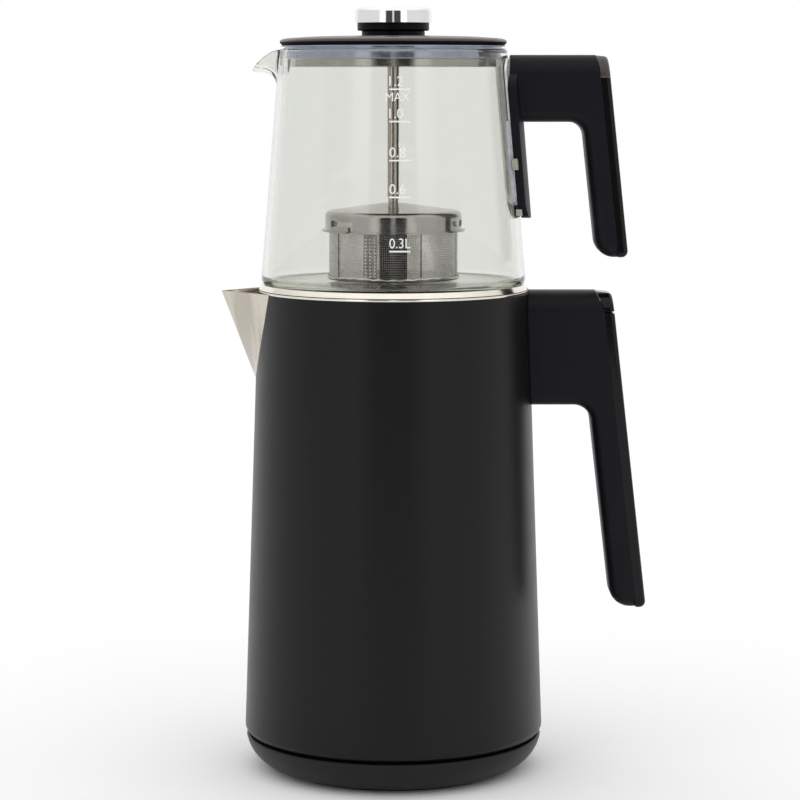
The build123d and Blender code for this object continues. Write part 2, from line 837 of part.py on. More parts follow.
with BuildPart() as kettle_rim:
    with BuildSketch(Plane.XZ):
        with BuildLine():
            Polyline(
                (pocket_radius, seat_low_z),
                (pocket_radius, ledge_z),
                (steam_plate_radius - steam_ledge, ledge_z),
                (steam_plate_radius - steam_ledge, ledge_z - rim_sheet),
                (pot_radius(web_z) - rim_sheet, web_z),
                (skirt_inner, web_z),
                (skirt_inner, skirt_foot_z),
                (skirt_outer, skirt_foot_z),
                (skirt_outer, kettle_top_z),
                bulge_low,
            )
            ThreePointArc(
                bulge_low,
                (rim_bulge_radius, kettle_top_z + rim_bulge_z / 2),
                bulge_high,
            )
            Polyline(
                bulge_high,
                (seat_high_x + rim_edge_width, rim_top_z),
                (seat_high_x, rim_top_z),
            )
            ThreePointArc((seat_high_x, rim_top_z), seat_mid, (pocket_radius, seat_low_z))
        make_face()
    revolve(axis=Axis.Z)

with BuildPart() as kettle_spout:
    add(spout_wedge(0, 0, 0))
    add(spout_wedge(-spout_wall, -spout_wall, overcut), mode=Mode.SUBTRACT)
    add(cone_solid(pot_radius, pot_z, rim_top_z, weld_gap), mode=Mode.SUBTRACT)
    revolve(
        ring(0, rim_bulge_radius + weld_gap, skirt_foot_z - weld_gap, rim_top_z),
        axis=Axis.Z,
        mode=Mode.SUBTRACT,
    )

curl_rise = curl_z - cover_z
cover_rim_radius = curl_x + math.sqrt(curl_inside**2 - curl_rise**2) - fit_gap
kettle_foot_outer = deck_radius - kettle_foot_inset
well_radius = hub_radius + 2 * running_gap
plate_radius = pot_radius(pot_z) - pot_corner
leg_circle = plate_radius - leg_inset
with BuildPart() as kettle_bottom_cover:
    revolve(ring(well_radius, cover_rim_radius, cover_z, cover_plate_z), axis=Axis.Z)
    revolve(
        ring(kettle_foot_outer - kettle_foot_width, kettle_foot_outer, deck_z, cover_z),
        axis=Axis.Z,
    )
    revolve(
        ring(
            cover_rim_radius - cover_lip_wall,
            cover_rim_radius,
            cover_plate_z,
            cover_plate_z + cover_lip,
        ),
        axis=Axis.Z,
    )
    revolve(
        ring(well_radius, well_radius + well_wall, cover_plate_z, socket_z - running_gap),
        axis=Axis.Z,
    )
    add(
        holes_up(leg_circle, kettle_screw_count, pilot_radius, kettle_z, plate_z),
        mode=Mode.SUBTRACT,
    )

with BuildPart() as heater_plate:
    revolve(ring(0, plate_radius, plate_z, pot_z), axis=Axis.Z)
    add(holes_up(leg_circle, kettle_screw_count, leg_radius, cover_plate_z, plate_z))
    add(
        holes_up(
            leg_circle,
            kettle_screw_count,
            pilot_radius,
            cover_z,
            cover_z + kettle_screw_length,
        ),
        mode=Mode.SUBTRACT,
    )

with BuildPart() as kettle_bottom_screws:
    add(screws_up(leg_circle, kettle_screw_count, cover_z, kettle_screw_length))

element_middle = leg_circle - leg_radius - element_inset - element_width / 2
terminal_span_deg = 360 - element_gap_deg - 2 * terminal_inset_deg
with BuildPart() as heating_element:
    with BuildSketch(Plane.XZ):
        with Locations((element_middle, plate_z - element_height / 2)):
            RectangleRounded(element_width, element_height, element_corner)
    revolve(axis=Axis.Z, revolution_arc=360 - element_gap_deg)
    with BuildSketch(Plane.XY.offset(plate_z - element_height)):
        with PolarLocations(
            element_middle, 2, terminal_inset_deg, terminal_span_deg, endpoint=True
        ):
            Circle(terminal_radius)
    extrude(amount=-terminal_length)

# ---- kettle handle -------------------------------------------------------------------
kettle_handle_sizes = (
    kettle_handle_top,
    kettle_handle_block,
    kettle_handle_drop,
    kettle_handle_x,
    kettle_handle_lean,
    kettle_handle_grip,
)
kettle_cavity_front = kettle_top_radius + handle_front_wall
switch_low_z = kettle_handle_top - switch_height
switch_pin_x = kettle_handle_x - switch_pin_inset
switch_pin_z = kettle_handle_top - switch_pin_drop


def inner_side_edges(part, block_z, strip_at):
    """Long edges along a handle's underside and grip, in front of its strip."""
    def wanted(edge):
        middle = edge.center()
        across = abs((edge @ 1 - edge @ 0).normalized().Y) > 0.5
        below = middle.Z < block_z + overcut
        ahead = middle.X < strip_at(middle.Z) - overcut
        return below and ahead and not across and abs(middle.Y) > handle_side_round
    return part.edges().filter_by(wanted)


def back_face(part):
    """Large plane face at the back of a handle's strip or cap."""
    return part.faces().filter_by(GeomType.PLANE).sort_by(SortBy.AREA)[-4:].sort_by(Axis.X)[-1]


def back_side_edges(part):
    """The two long edges of a strip's back."""
    return back_face(part).edges().sort_by(SortBy.LENGTH)[-2:]


def back_upper_edges(part):
    """The edges of a cap's back, without the lower one."""
    return back_face(part).edges().sort_by(Axis.Z)[1:]


def kettle_strip_x(z):
    back = handle_back(kettle_handle_top, kettle_handle_x, kettle_handle_lean, z)
    return back - kettle_handle_strip_depth


with BuildPart() as kettle_handle:
    extrude(
        handle_side_view(
            *kettle_handle_sizes,
            kettle_handle_strip_depth,
            kettle_handle_crown,
            (kettle_handle_inner_round, kettle_handle_toe_round),
        ),
        amount=kettle_handle_width[0],
        both=True,
    )
    extrude(
        handle_front_view(kettle_handle_top, kettle_handle_toe, kettle_handle_width),
        amount=far_x,
        mode=Mode.INTERSECT,
    )
    fillet(
        inner_side_edges(kettle_handle, kettle_block_z, kettle_strip_x),
        handle_side_round,
    )
    add(
        cone_solid(shell_radius, kettle_handle_toe, kettle_handle_top + overcut, weld_gap),
        mode=Mode.SUBTRACT,
    )
    extrude(
        handle_cavity(*kettle_handle_sizes, kettle_cavity_front, switch_roof),
        amount=handle_cavity_half,
        both=True,
        mode=Mode.SUBTRACT,
    )
    for z in kettle_screw_heights:
        add(
            rod_x(handle_pilot, root_x, kettle_cavity_front + overcut, 0, z),
            mode=Mode.SUBTRACT,
        )
    add(
        rod_x(steam_hole, root_x, kettle_cavity_front + overcut, 0, steam_tube_z),
        mode=Mode.SUBTRACT,
    )
    with BuildSketch(Plane.XZ):
        with Locations((switch_pin_x, switch_pin_z)):
            Circle(switch_pin_radius + pilot_gap)
    extrude(amount=switch_pin_half + pilot_gap, both=True, mode=Mode.SUBTRACT)

with BuildPart() as kettle_handle_strip:
    extrude(
        strip_side_view(
            kettle_handle_top,
            kettle_handle_drop,
            kettle_handle_x,
            kettle_handle_lean,
            kettle_handle_strip_depth,
            switch_low_z - switch_gap,
        ),
        amount=kettle_handle_width[0],
        both=True,
    )
    extrude(
        handle_front_view(kettle_handle_top, kettle_handle_toe, kettle_handle_width),
        amount=far_x,
        mode=Mode.INTERSECT,
    )
    fillet(back_side_edges(kettle_handle_strip), strip_edge_round)

with BuildPart() as kettle_handle_bracket:
    revolve(
        cone_sheet(
            shell_radius,
            -shell_wall - weld_gap - kettle_bracket_sheet,
            -shell_wall - weld_gap,
            bracket_low,
            bracket_high,
        ),
        axis=Axis.Z,
    )
    extrude(
        window(kettle_bracket_half, bracket_low, bracket_high, kettle_bracket_corner),
        amount=far_x,
        mode=Mode.INTERSECT,
    )
    for z in kettle_screw_heights:
        add(rod_x(handle_pilot, root_x, far_x, 0, z), mode=Mode.SUBTRACT)

with BuildPart() as kettle_handle_screws:
    add(
        screws_x(
            handle_screw_radius,
            handle_screw_head,
            kettle_cavity_front,
            max(map(pot_radius, kettle_screw_heights)) + air_gap / 2,
            kettle_screw_heights,
        )
    )

with BuildPart() as steam_tube:
    add(
        rod_x(
            steam_tube_radius,
            pot_radius(steam_tube_z) - pot_wall - steam_tube_proud,
            kettle_cavity_front + steam_tube_proud,
            0,
            steam_tube_z,
        )
    )
    add(
        rod_x(steam_tube_radius - steam_tube_wall, root_x, far_x, 0, steam_tube_z),
        mode=Mode.SUBTRACT,
    )

switch_box_x = kettle_strip_x(kettle_block_z) - switch_box_inset - switch_box[0] / 2
switch_box_z = kettle_block_z + handle_wall
with BuildPart() as steam_switch:
    with BuildSketch(Plane.XY.offset(switch_box_z)):
        with Locations((switch_box_x, 0)):
            RectangleRounded(switch_box[0], switch_box[1], switch_box_corner)
    extrude(amount=switch_box[2])

with BuildPart() as switch_pivot_pin:
    with BuildSketch(Plane.XZ):
        with Locations((switch_pin_x, switch_pin_z)):
            Circle(switch_pin_radius)
    extrude(amount=switch_pin_half, both=True)

# ---- power switch rocker -------------------------------------------------------------
rocker_front_low = kettle_strip_x(switch_low_z) + switch_front_gap
rocker_front_high = (
    kettle_handle_x - kettle_handle_strip_depth - kettle_handle_crown[0] + switch_front_gap
)
rocker_top = kettle_handle_top - switch_sink
rocker_low_x = kettle_strip_x(switch_low_z) + kettle_handle_strip_depth
tongue_roof = kettle_handle_top - switch_roof - running_gap
tongue_front = switch_pin_x - switch_tongue
tongue_root = rocker_front_low + switch_tongue_root
with BuildPart() as switch_rocker:
    with BuildSketch(Plane.XZ):
        with BuildLine():
            Polyline(
                (rocker_front_low, switch_low_z),
                (rocker_low_x, switch_low_z),
                (kettle_handle_x, rocker_top - cap_edge_drop),
                (rocker_front_high, rocker_top),
                close=True,
            )
        make_face()
    extrude(amount=kettle_handle_width[0], both=True)
    extrude(
        handle_front_view(rocker_top, kettle_handle_toe, kettle_handle_width),
        amount=far_x,
        mode=Mode.INTERSECT,
    )
    fillet(back_upper_edges(switch_rocker), strip_edge_round)
    with BuildSketch(Plane.XZ):
        with BuildLine():
            Polyline(
                (tongue_front, switch_low_z),
                (tongue_root, switch_low_z),
                (tongue_root, tongue_roof),
                (tongue_front, tongue_roof),
                close=True,
            )
        make_face()
    extrude(amount=switch_half, both=True)
    with BuildSketch(Plane.XZ):
        with Locations((switch_pin_x, switch_pin_z)):
            Circle(switch_pin_radius + shaft_gap)
    extrude(amount=switch_half + overcut, both=True, mode=Mode.SUBTRACT)

# ---- steam plate ---------------------------------------------------------------------
dish_z = ledge_z - steam_dish_depth
with BuildPart() as steam_plate:
    revolve(
        section(
            (0, dish_z),
            (steam_dish_radius - steam_dish_slope, dish_z),
            (steam_dish_radius, ledge_z),
            (steam_plate_radius, ledge_z),
            (steam_plate_radius, glass_z),
            (steam_dish_radius - steam_plate_sheet / 2, glass_z),
            (
                steam_dish_radius - steam_dish_slope - steam_plate_sheet / 2,
                dish_z + steam_plate_sheet,
            ),
            (0, dish_z + steam_plate_sheet),
        ),
        axis=Axis.Z,
    )
    with BuildSketch(Plane.XY.offset(dish_z - overcut)):
        Circle(2 * steam_hole_radius)
        with PolarLocations(steam_hole_circle, steam_hole_count):
            Circle(steam_hole_radius)
    extrude(amount=steam_plate_sheet + 2 * overcut, mode=Mode.SUBTRACT)

# ---- glass teapot --------------------------------------------------------------------
def glass_outline(inset, top_z):
    """Half section of the glass, inset from its outside."""
    radius_low = glass_bottom_radius - inset
    low = glass_z + inset
    corner = glass_corner - inset
    with BuildSketch(Plane.XZ) as outline:
        with BuildLine():
            Line((0, low), (radius_low - corner, low))
            CenterArc((radius_low - corner, low + corner), corner, -90, 90)
            Polyline(
                (radius_low, low + corner),
                (glass_radius(top_z) - inset, top_z),
                (0, top_z),
                (0, low),
            )
        make_face()
    return outline.sketch


with BuildPart() as glass_jug:
    revolve(glass_outline(0, glass_rim_z), axis=Axis.Z)
    add(lip_loft(0, 0, 0))
    revolve(
        glass_outline(glass_wall, glass_rim_z + overcut),
        axis=Axis.Z,
        mode=Mode.SUBTRACT,
    )
    add(lip_loft(lip_wall, lip_overcut, lip_overcut), mode=Mode.SUBTRACT)

teapot_handle_top = glass_rim_z - teapot_handle_drop_from_rim
teapot_handle_x = glass_top_radius + teapot_handle_reach
teapot_block_z = teapot_handle_top - teapot_handle_block
teapot_handle_toe = teapot_handle_top - teapot_handle_drop
tail_z = teapot_handle_top - teapot_tail_drop
plate_high = teapot_handle_top - handle_plate_drop
plate_low = plate_high - handle_plate_height
glue_offset = weld_gap + adhesive_film
plate_offset = glue_offset + weld_gap + handle_plate_sheet
teapot_screw_heights = [teapot_block_z + rise for rise in teapot_screw_rises]
teapot_cavity_front = glass_radius(teapot_block_z) + plate_offset + handle_front_wall
teapot_cap_z = teapot_handle_top - teapot_cap_height
teapot_handle_sizes = (
    teapot_handle_top,
    teapot_handle_block,
    teapot_handle_drop,
    teapot_handle_x,
    teapot_handle_lean,
    teapot_handle_grip,
)


def teapot_strip_x(z):
    back = handle_back(teapot_handle_top, teapot_handle_x, teapot_handle_lean, z)
    return back - teapot_handle_strip_depth


glue_low = plate_low + adhesive_inset
glue_high = plate_high - adhesive_inset
with BuildPart() as handle_adhesive:
    revolve(cone_sheet(glass_radius, weld_gap, glue_offset, glue_low, glue_high), axis=Axis.Z)
    extrude(
        window(adhesive_half, glue_low, glue_high, adhesive_inset),
        amount=far_x,
        mode=Mode.INTERSECT,
    )

with BuildPart() as teapot_handle_plate:
    revolve(
        cone_sheet(glass_radius, glue_offset + weld_gap, plate_offset, plate_low, plate_high),
        axis=Axis.Z,
    )
    extrude(
        window(handle_plate_half, plate_low, plate_high, handle_plate_corner),
        amount=far_x,
        mode=Mode.INTERSECT,
    )

tail_grow = plate_offset + teapot_tail_thickness
tail_high = teapot_block_z + teapot_tail_overlap
with BuildPart() as teapot_handle:
    extrude(
        handle_side_view(
            *teapot_handle_sizes,
            teapot_handle_strip_depth,
            teapot_handle_crown,
            (teapot_handle_inner_round, teapot_handle_toe_round),
        ),
        amount=teapot_handle_width[0],
        both=True,
    )
    extrude(
        handle_front_view(teapot_handle_top, teapot_handle_toe, teapot_handle_width),
        amount=far_x,
        mode=Mode.INTERSECT,
    )
    fillet(
        inner_side_edges(teapot_handle, teapot_block_z, teapot_strip_x),
        handle_side_round,
    )
    with BuildPart(mode=Mode.PRIVATE) as tail:
        revolve(cone_sheet(glass_radius, 0, tail_grow, tail_z, tail_high), axis=Axis.Z)
        extrude(
            window(teapot_tail_half, tail_z, tail_high, teapot_tail_corner),
            amount=far_x,
            mode=Mode.INTERSECT,
        )
    add(tail.part)
    add(
        cone_solid(
            glass_radius,
            tail_z - overcut,
            teapot_handle_top + overcut,
            plate_offset + weld_gap,
        ),
        mode=Mode.SUBTRACT,
    )
    extrude(
        handle_cavity(*teapot_handle_sizes, teapot_cavity_front, switch_roof),
        amount=handle_cavity_half,
        both=True,
        mode=Mode.SUBTRACT,
    )
    for z in teapot_screw_heights:
        add(
            rod_x(handle_pilot, root_x, teapot_cavity_front + overcut, 0, z),
            mode=Mode.SUBTRACT,
        )

with BuildPart() as teapot_handle_screws:
    add(
        screws_x(
            handle_screw_radius,
            handle_screw_head,
            teapot_cavity_front,
            max(map(glass_radius, teapot_screw_heights)) + plate_offset + running_gap,
            teapot_screw_heights,
        )
    )

with BuildPart() as teapot_handle_strip:
    extrude(
        strip_side_view(
            teapot_handle_top,
            teapot_handle_drop,
            teapot_handle_x,
            teapot_handle_lean,
            teapot_handle_strip_depth,
            teapot_cap_z,
        ),
        amount=teapot_handle_width[0],
        both=True,
    )
    extrude(
        handle_front_view(teapot_handle_top, teapot_handle_toe, teapot_handle_width),
        amount=far_x,
        mode=Mode.INTERSECT,
    )
    fillet(back_side_edges(teapot_handle_strip), strip_edge_round)

cap_low_z = teapot_cap_z + weld_gap
cap_top_z = teapot_handle_top - teapot_cap_sink
cap_gap = 2 * weld_gap
crown_z = teapot_handle_top - teapot_handle_crown[1]
with BuildPart() as teapot_handle_top_cap:
    with BuildSketch(Plane.XZ):
        with BuildLine():
            Polyline(
                (teapot_strip_x(teapot_cap_z) + cap_gap, cap_low_z),
                (teapot_strip_x(teapot_cap_z) + teapot_handle_strip_depth, cap_low_z),
                (teapot_handle_x, cap_top_z - cap_edge_drop),
                (teapot_strip_x(teapot_handle_top) - teapot_handle_crown[0] + cap_gap, cap_top_z),
                (teapot_strip_x(crown_z) + cap_gap, crown_z),
                close=True,
            )
        make_face()
    extrude(amount=teapot_handle_width[0], both=True)
    extrude(
        handle_front_view(cap_top_z, teapot_handle_toe, teapot_handle_width),
        amount=far_x,
        mode=Mode.INTERSECT,
    )
    fillet(back_upper_edges(teapot_handle_top_cap), strip_edge_round)

# ---- lid -----------------------------------------------------------------------------
bush_radius = rod_radius + shaft_gap + bush_wall
seal_skirt_radius = glass_radius(glass_rim_z) - glass_wall - running_gap
pan_radius = seal_skirt_radius - seal_wall - weld_gap
seal_skirt_z = glass_rim_z - seal_skirt
lid_bore = bush_radius + fit_gap
frame_radius = collar_radius + lid_frame_wall
edge_low = (lid_radius, lid_z + lid_edge_land)
shoulder = (lid_radius - lid_edge_round, lid_top_z - lid_crown)

with BuildPart() as lid_cap:
    with BuildSketch(Plane.XZ):
        with BuildLine():
            Polyline((lid_bore, lid_top_z), (lid_bore, lid_z), (lid_radius, lid_z), edge_low)
            ThreePointArc(
                edge_low,
                (lid_radius - lid_edge_bow[0], lid_z + lid_edge_bow[1]),
                shoulder,
            )
            ThreePointArc(
                shoulder,
                (lid_radius / 2, lid_top_z - lid_crown_bow),
                (lid_bore, lid_top_z),
            )
        make_face()
    revolve(axis=Axis.Z)
    revolve(
        ring(
            frame_radius,
            pan_radius - lid_edge_round,
            lid_z - overcut,
            lid_top_z - lid_crown - lid_sheet,
        ),
        axis=Axis.Z,
        mode=Mode.SUBTRACT,
    )

with BuildPart() as lid_seal:
    revolve(
        section(
            (pan_radius + weld_gap, seal_skirt_z),
            (seal_skirt_radius, seal_skirt_z),
            (seal_skirt_radius, glass_rim_z),
            (seal_outer_radius, glass_rim_z),
            (seal_outer_radius, lid_z),
            (pan_radius + weld_gap, lid_z),
        ),
        axis=Axis.Z,
    )

with BuildPart() as lid_pan:
    revolve(ring(lid_bore, pan_radius, pan_z, pan_z + pan_sheet), axis=Axis.Z)
    revolve(ring(pan_radius - pan_sheet, pan_radius, pan_z, lid_z), axis=Axis.Z)
    add(
        holes_up(lid_screw_circle, lid_screw_count, pilot_radius, pan_z - overcut, lid_z),
        mode=Mode.SUBTRACT,
    )

ball_x = rod_radius + shaft_gap + detent_ball_radius
spring_x = ball_x + detent_ball_radius
with BuildPart() as lid_frame:
    revolve(ring(lid_bore, frame_radius, lid_z - lid_frame_depth, lid_z), axis=Axis.Z)
    add(
        holes_up(lid_screw_circle, lid_screw_count, boss_radius, pan_z + pan_sheet, lid_z)
    )
    revolve(
        ring(collar_radius, pan_radius - pan_sheet - fit_gap, lid_z - lid_frame_web, lid_z),
        axis=Axis.Z,
    )
    add(
        holes_up(lid_screw_circle, lid_screw_count, pilot_radius, pan_z, lid_z),
        mode=Mode.SUBTRACT,
    )
    add(
        rod_x(detent_ball_radius + fit_gap, 0, spring_x + detent_spring_length, 0, detent_z),
        mode=Mode.SUBTRACT,
    )

with BuildPart() as lid_screws:
    head_top_z = lid_z + screw_head_height
    add(holes_up(lid_screw_circle, lid_screw_count, screw_radius, pan_z, lid_z))
    add(holes_up(lid_screw_circle, lid_screw_count, screw_head_radius, lid_z, head_top_z))

with BuildPart() as lid_collar:
    revolve(ring(lid_bore, collar_radius, lid_top_z, collar_top_z), axis=Axis.Z)
    chamfer(lid_collar.edges().group_by(Axis.Z)[-1].sort_by(SortBy.RADIUS)[-1], collar_edge)

with BuildPart() as lid_bush:
    revolve(ring(rod_radius + shaft_gap, bush_radius, pan_z, collar_top_z), axis=Axis.Z)
    add(
        rod_x(detent_ball_radius + shaft_gap, 0, bush_radius + overcut, 0, detent_z),
        mode=Mode.SUBTRACT,
    )

with BuildPart() as detent_ball:
    with Locations((ball_x, 0, detent_z)):
        Sphere(detent_ball_radius)

with BuildPart() as detent_spring:
    add(rod_x(detent_ball_radius, spring_x, spring_x + detent_spring_length, 0, detent_z))
    add(rod_x(detent_ball_radius - detent_wire, ball_x, far_x, 0, detent_z), mode=Mode.SUBTRACT)

# ---- infuser -------------------------------------------------------------------------
rod_top_z = knob_z + knob_height / 2
nut_z = cover_apex_z - basket_cover_sheet - rod_nut_height
shank_z = cover_apex_z + ferrule_height
shank_hole = rod_shank_radius + weld_gap

with BuildPart() as knob_base:
    revolve(
        ring(rod_radius + weld_gap, knob_base_radius, knob_base_z, knob_z),
        axis=Axis.Z,
    )
    chamfer(knob_base.edges().group_by(Axis.Z)[0].sort_by(SortBy.RADIUS)[-1], knob_base_edge)

with BuildPart() as knob_cap:
    revolve(ring(0, knob_radius, knob_z, knob_z + knob_height), axis=Axis.Z)
    fillet(knob_cap.edges().group_by(Axis.Z)[-1], knob_round)
    revolve(
        ring(0, rod_radius + weld_gap, knob_z - overcut, rod_top_z),
        axis=Axis.Z,
        mode=Mode.SUBTRACT,
    )

with BuildPart() as infuser_rod:
    revolve(ring(0, rod_radius, shank_z, rod_top_z), axis=Axis.Z)
    revolve(ring(0, rod_shank_radius, nut_z - nut_proud, shank_z), axis=Axis.Z)
    with Locations((rod_radius + dimple_radius - dimple_depth, 0, detent_z - detent_travel)):
        Sphere(dimple_radius, mode=Mode.SUBTRACT)

with BuildPart() as rod_ferrule:
    revolve(
        section(
            (shank_hole, cover_apex_z),
            (ferrule_radius, cover_apex_z),
            (ferrule_top_radius, shank_z),
            (shank_hole, shank_z),
        ),
        axis=Axis.Z,
    )

with BuildPart() as rod_nut:
    with BuildSketch(Plane.XY.offset(nut_z)):
        RegularPolygon(rod_nut_radius, 6)
        Circle(shank_hole, mode=Mode.SUBTRACT)
    extrude(amount=rod_nut_height)

cover_low_z = basket_top_z - basket_cover_skirt
cover_inner = basket_cover_radius - basket_cover_sheet
cover_corner_z = cover_shoulder_z - basket_cover_corner
cover_lip_radius = basket_cover_radius + basket_cover_lip
flat_radius = rod_nut_radius + overcut
lug_z = basket_top_z - lug_drop
slot_half = lug_radius + running_gap
slot_half_deg = math.degrees(slot_half / basket_cover_radius)


def half_plane(angle):
    """Upright plane through the Z axis, with its x axis pointing away at an angle."""
    turn = math.radians(angle)
    outwards = Vector(math.cos(turn), math.sin(turn), 0)
    return Plane(origin=(0, 0, 0), x_dir=outwards, z_dir=outwards.cross(Vector(0, 0, 1)))


def radial_plane(angle, distance):
    """Upright plane that faces away from the Z axis, with its y axis pointing up."""
    outwards = half_plane(angle).x_dir
    return Plane(
        origin=outwards * distance,
        x_dir=Vector(0, 0, 1).cross(outwards),
        z_dir=outwards,
    )


def skirt_slot(start, sweep, low, high):
    """Sector of the cover's skirt, for the slots that the basket's lugs run in."""
    with BuildPart() as sector:
        with BuildSketch(half_plane(start)):
            with Locations((basket_cover_radius, (low + high) / 2)):
                Rectangle(2 * (basket_cover_lip + basket_cover_sheet), high - low)
        revolve(axis=Axis.Z, revolution_arc=sweep)
    return sector.part


with BuildPart() as basket_cover:
    with BuildSketch(Plane.XZ):
        with BuildLine():
            Polyline(
                (shank_hole, cover_apex_z - basket_cover_sheet),
                (shank_hole, cover_apex_z),
                (flat_radius, cover_apex_z),
                (cover_corner_x, cover_shoulder_z),
            )
            CenterArc((cover_corner_x, cover_corner_z), basket_cover_corner, 0, 90)
            Polyline(
                (basket_cover_radius, cover_corner_z),
                (basket_cover_radius, cover_low_z + basket_cover_sheet),
                (cover_lip_radius, cover_low_z + basket_cover_sheet),
                (cover_lip_radius, cover_low_z),
                (cover_inner, cover_low_z),
                (cover_inner, cover_corner_z),
            )
            CenterArc((cover_corner_x, cover_corner_z), cover_corner_inside, 0, 90)
            Polyline(
                (cover_corner_x, cover_shoulder_z - basket_cover_sheet),
                (flat_radius, cover_apex_z - basket_cover_sheet),
                (shank_hole, cover_apex_z - basket_cover_sheet),
            )
        make_face()
    revolve(axis=Axis.Z)
    for angle in lug_angles:
        first = angle - slot_half_deg
        add(
            skirt_slot(
                first,
                twist_angle + 2 * slot_half_deg,
                lug_z - slot_half,
                lug_z + slot_half,
            ),
            mode=Mode.SUBTRACT,
        )
        add(
            skirt_slot(first + twist_angle, 2 * slot_half_deg, cover_low_z - overcut, lug_z),
            mode=Mode.SUBTRACT,
        )

# ---- basket --------------------------------------------------------------------------
rim_low_z = basket_top_z - basket_rim_height
mesh_radius = basket_radius - basket_sheet
mesh_outside = mesh_radius - weld_gap
band_top_z = basket_z + basket_band_height
lug_root = mesh_radius + basket_sheet / 2

with BuildPart() as basket_rim:
    revolve(ring(mesh_radius, basket_radius, rim_low_z, basket_top_z), axis=Axis.Z)
    for angle in lug_angles:
        with BuildSketch(radial_plane(angle, lug_root)):
            with Locations((0, lug_z)):
                Circle(lug_radius)
        extrude(amount=basket_cover_radius + lug_reach - lug_root)

with BuildPart() as basket_band:
    revolve(ring(0, basket_radius, basket_z, band_top_z), axis=Axis.Z)
    fillet(basket_band.edges().group_by(Axis.Z)[0], basket_corner)
    revolve(
        ring(0, mesh_radius, basket_z + basket_sheet, band_top_z + overcut),
        axis=Axis.Z,
        mode=Mode.SUBTRACT,
    )

with BuildPart() as basket_mesh:
    revolve(
        ring(
            mesh_outside - mesh_sheet,
            mesh_outside,
            basket_z + basket_sheet,
            rim_low_z + mesh_lap,
        ),
        axis=Axis.Z,
    )

with BuildPart() as basket_seam:
    with BuildSketch(half_plane(-90 - seam_half_angle)):
        with Locations((mesh_outside + seam_sheet / 2, (band_top_z + rim_low_z) / 2)):
            Rectangle(seam_sheet, rim_low_z - band_top_z)
    revolve(axis=Axis.Z, revolution_arc=2 * seam_half_angle)

pieces = {
    "base_shell": base_shell,
    "base_bottom_cover": base_bottom_cover,
    "base_foot_ring": base_foot_ring,
    "base_screws": base_screws,
    "base_connector": base_connector,
    "base_contacts": base_contacts,
    "base_cord_gland": base_cord_gland,
    "socket_moulding": socket_moulding,
    "socket_contacts": socket_contacts,
    "thermostat_disc": thermostat_disc,
    "kettle_shell": kettle_shell,
    "inner_pot": inner_pot,
    "kettle_rim": kettle_rim,
    "kettle_spout": kettle_spout,
    "kettle_bottom_cover": kettle_bottom_cover,
    "heater_plate": heater_plate,
    "kettle_bottom_screws": kettle_bottom_screws,
    "heating_element": heating_element,
    "kettle_handle": kettle_handle,
    "kettle_handle_strip": kettle_handle_strip,
    "kettle_handle_bracket": kettle_handle_bracket,
    "kettle_handle_screws": kettle_handle_screws,
    "steam_tube": steam_tube,
    "steam_switch": steam_switch,
    "switch_pivot_pin": switch_pivot_pin,
    "switch_rocker": switch_rocker,
    "steam_plate": steam_plate,
    "glass_jug": glass_jug,
    "handle_adhesive": handle_adhesive,
    "teapot_handle_plate": teapot_handle_plate,
    "teapot_handle": teapot_handle,
    "teapot_handle_screws": teapot_handle_screws,
    "teapot_handle_strip": teapot_handle_strip,
    "teapot_handle_top_cap": teapot_handle_top_cap,
    "lid_cap": lid_cap,
    "lid_seal": lid_seal,
    "lid_pan": lid_pan,
    "lid_frame": lid_frame,
    "lid_screws": lid_screws,
    "lid_collar": lid_collar,
    "lid_bush": lid_bush,
    "detent_ball": detent_ball,
    "detent_spring": detent_spring,
    "knob_base": knob_base,
    "knob_cap": knob_cap,
    "infuser_rod": infuser_rod,
    "rod_ferrule": rod_ferrule,
    "rod_nut": rod_nut,
    "basket_cover": basket_cover,
    "basket_rim": basket_rim,
    "basket_band": basket_band,
    "basket_mesh": basket_mesh,
    "basket_seam": basket_seam,
}

for name, piece in pieces.items():
    piece.part.label = name
    export_step(piece.part, f"parts/{name}.step")
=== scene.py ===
import math

import bmesh
import bpy
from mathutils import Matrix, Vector


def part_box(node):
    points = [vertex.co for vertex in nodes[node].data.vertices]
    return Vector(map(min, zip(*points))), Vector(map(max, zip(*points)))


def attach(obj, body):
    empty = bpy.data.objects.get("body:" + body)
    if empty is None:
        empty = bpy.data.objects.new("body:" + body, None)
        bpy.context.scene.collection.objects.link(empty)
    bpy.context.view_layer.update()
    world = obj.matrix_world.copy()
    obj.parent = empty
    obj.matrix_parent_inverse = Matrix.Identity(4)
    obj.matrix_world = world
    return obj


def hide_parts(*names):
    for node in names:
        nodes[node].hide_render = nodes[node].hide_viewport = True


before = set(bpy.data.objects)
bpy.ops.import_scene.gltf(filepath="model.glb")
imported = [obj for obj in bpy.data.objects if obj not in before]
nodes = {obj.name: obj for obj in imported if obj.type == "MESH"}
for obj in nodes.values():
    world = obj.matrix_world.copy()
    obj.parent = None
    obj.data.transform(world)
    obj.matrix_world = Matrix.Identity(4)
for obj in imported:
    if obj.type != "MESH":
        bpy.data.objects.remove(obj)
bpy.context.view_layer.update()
MM = 0.001


# ---- camera --------------------------------------------------------------------------
CAMERA_AT = (0.0034, -1.3909, 0.3566)        # metres
CAMERA_PITCH = math.radians(6.81)            # it looks down by this much
LENS = 122.4                                 # millimetres, like the sensor
SENSOR = 36.0

camera_data = bpy.data.cameras.new("photo_camera")
camera_data.lens = LENS
camera_data.sensor_width = SENSOR
camera = bpy.data.objects.new("photo_camera", camera_data)
camera.location = CAMERA_AT
camera.rotation_euler = (math.pi / 2 - CAMERA_PITCH, 0, 0)
bpy.context.scene.collection.objects.link(camera)
bpy.context.scene.camera = camera
bpy.context.scene.view_settings.view_transform = "Standard"


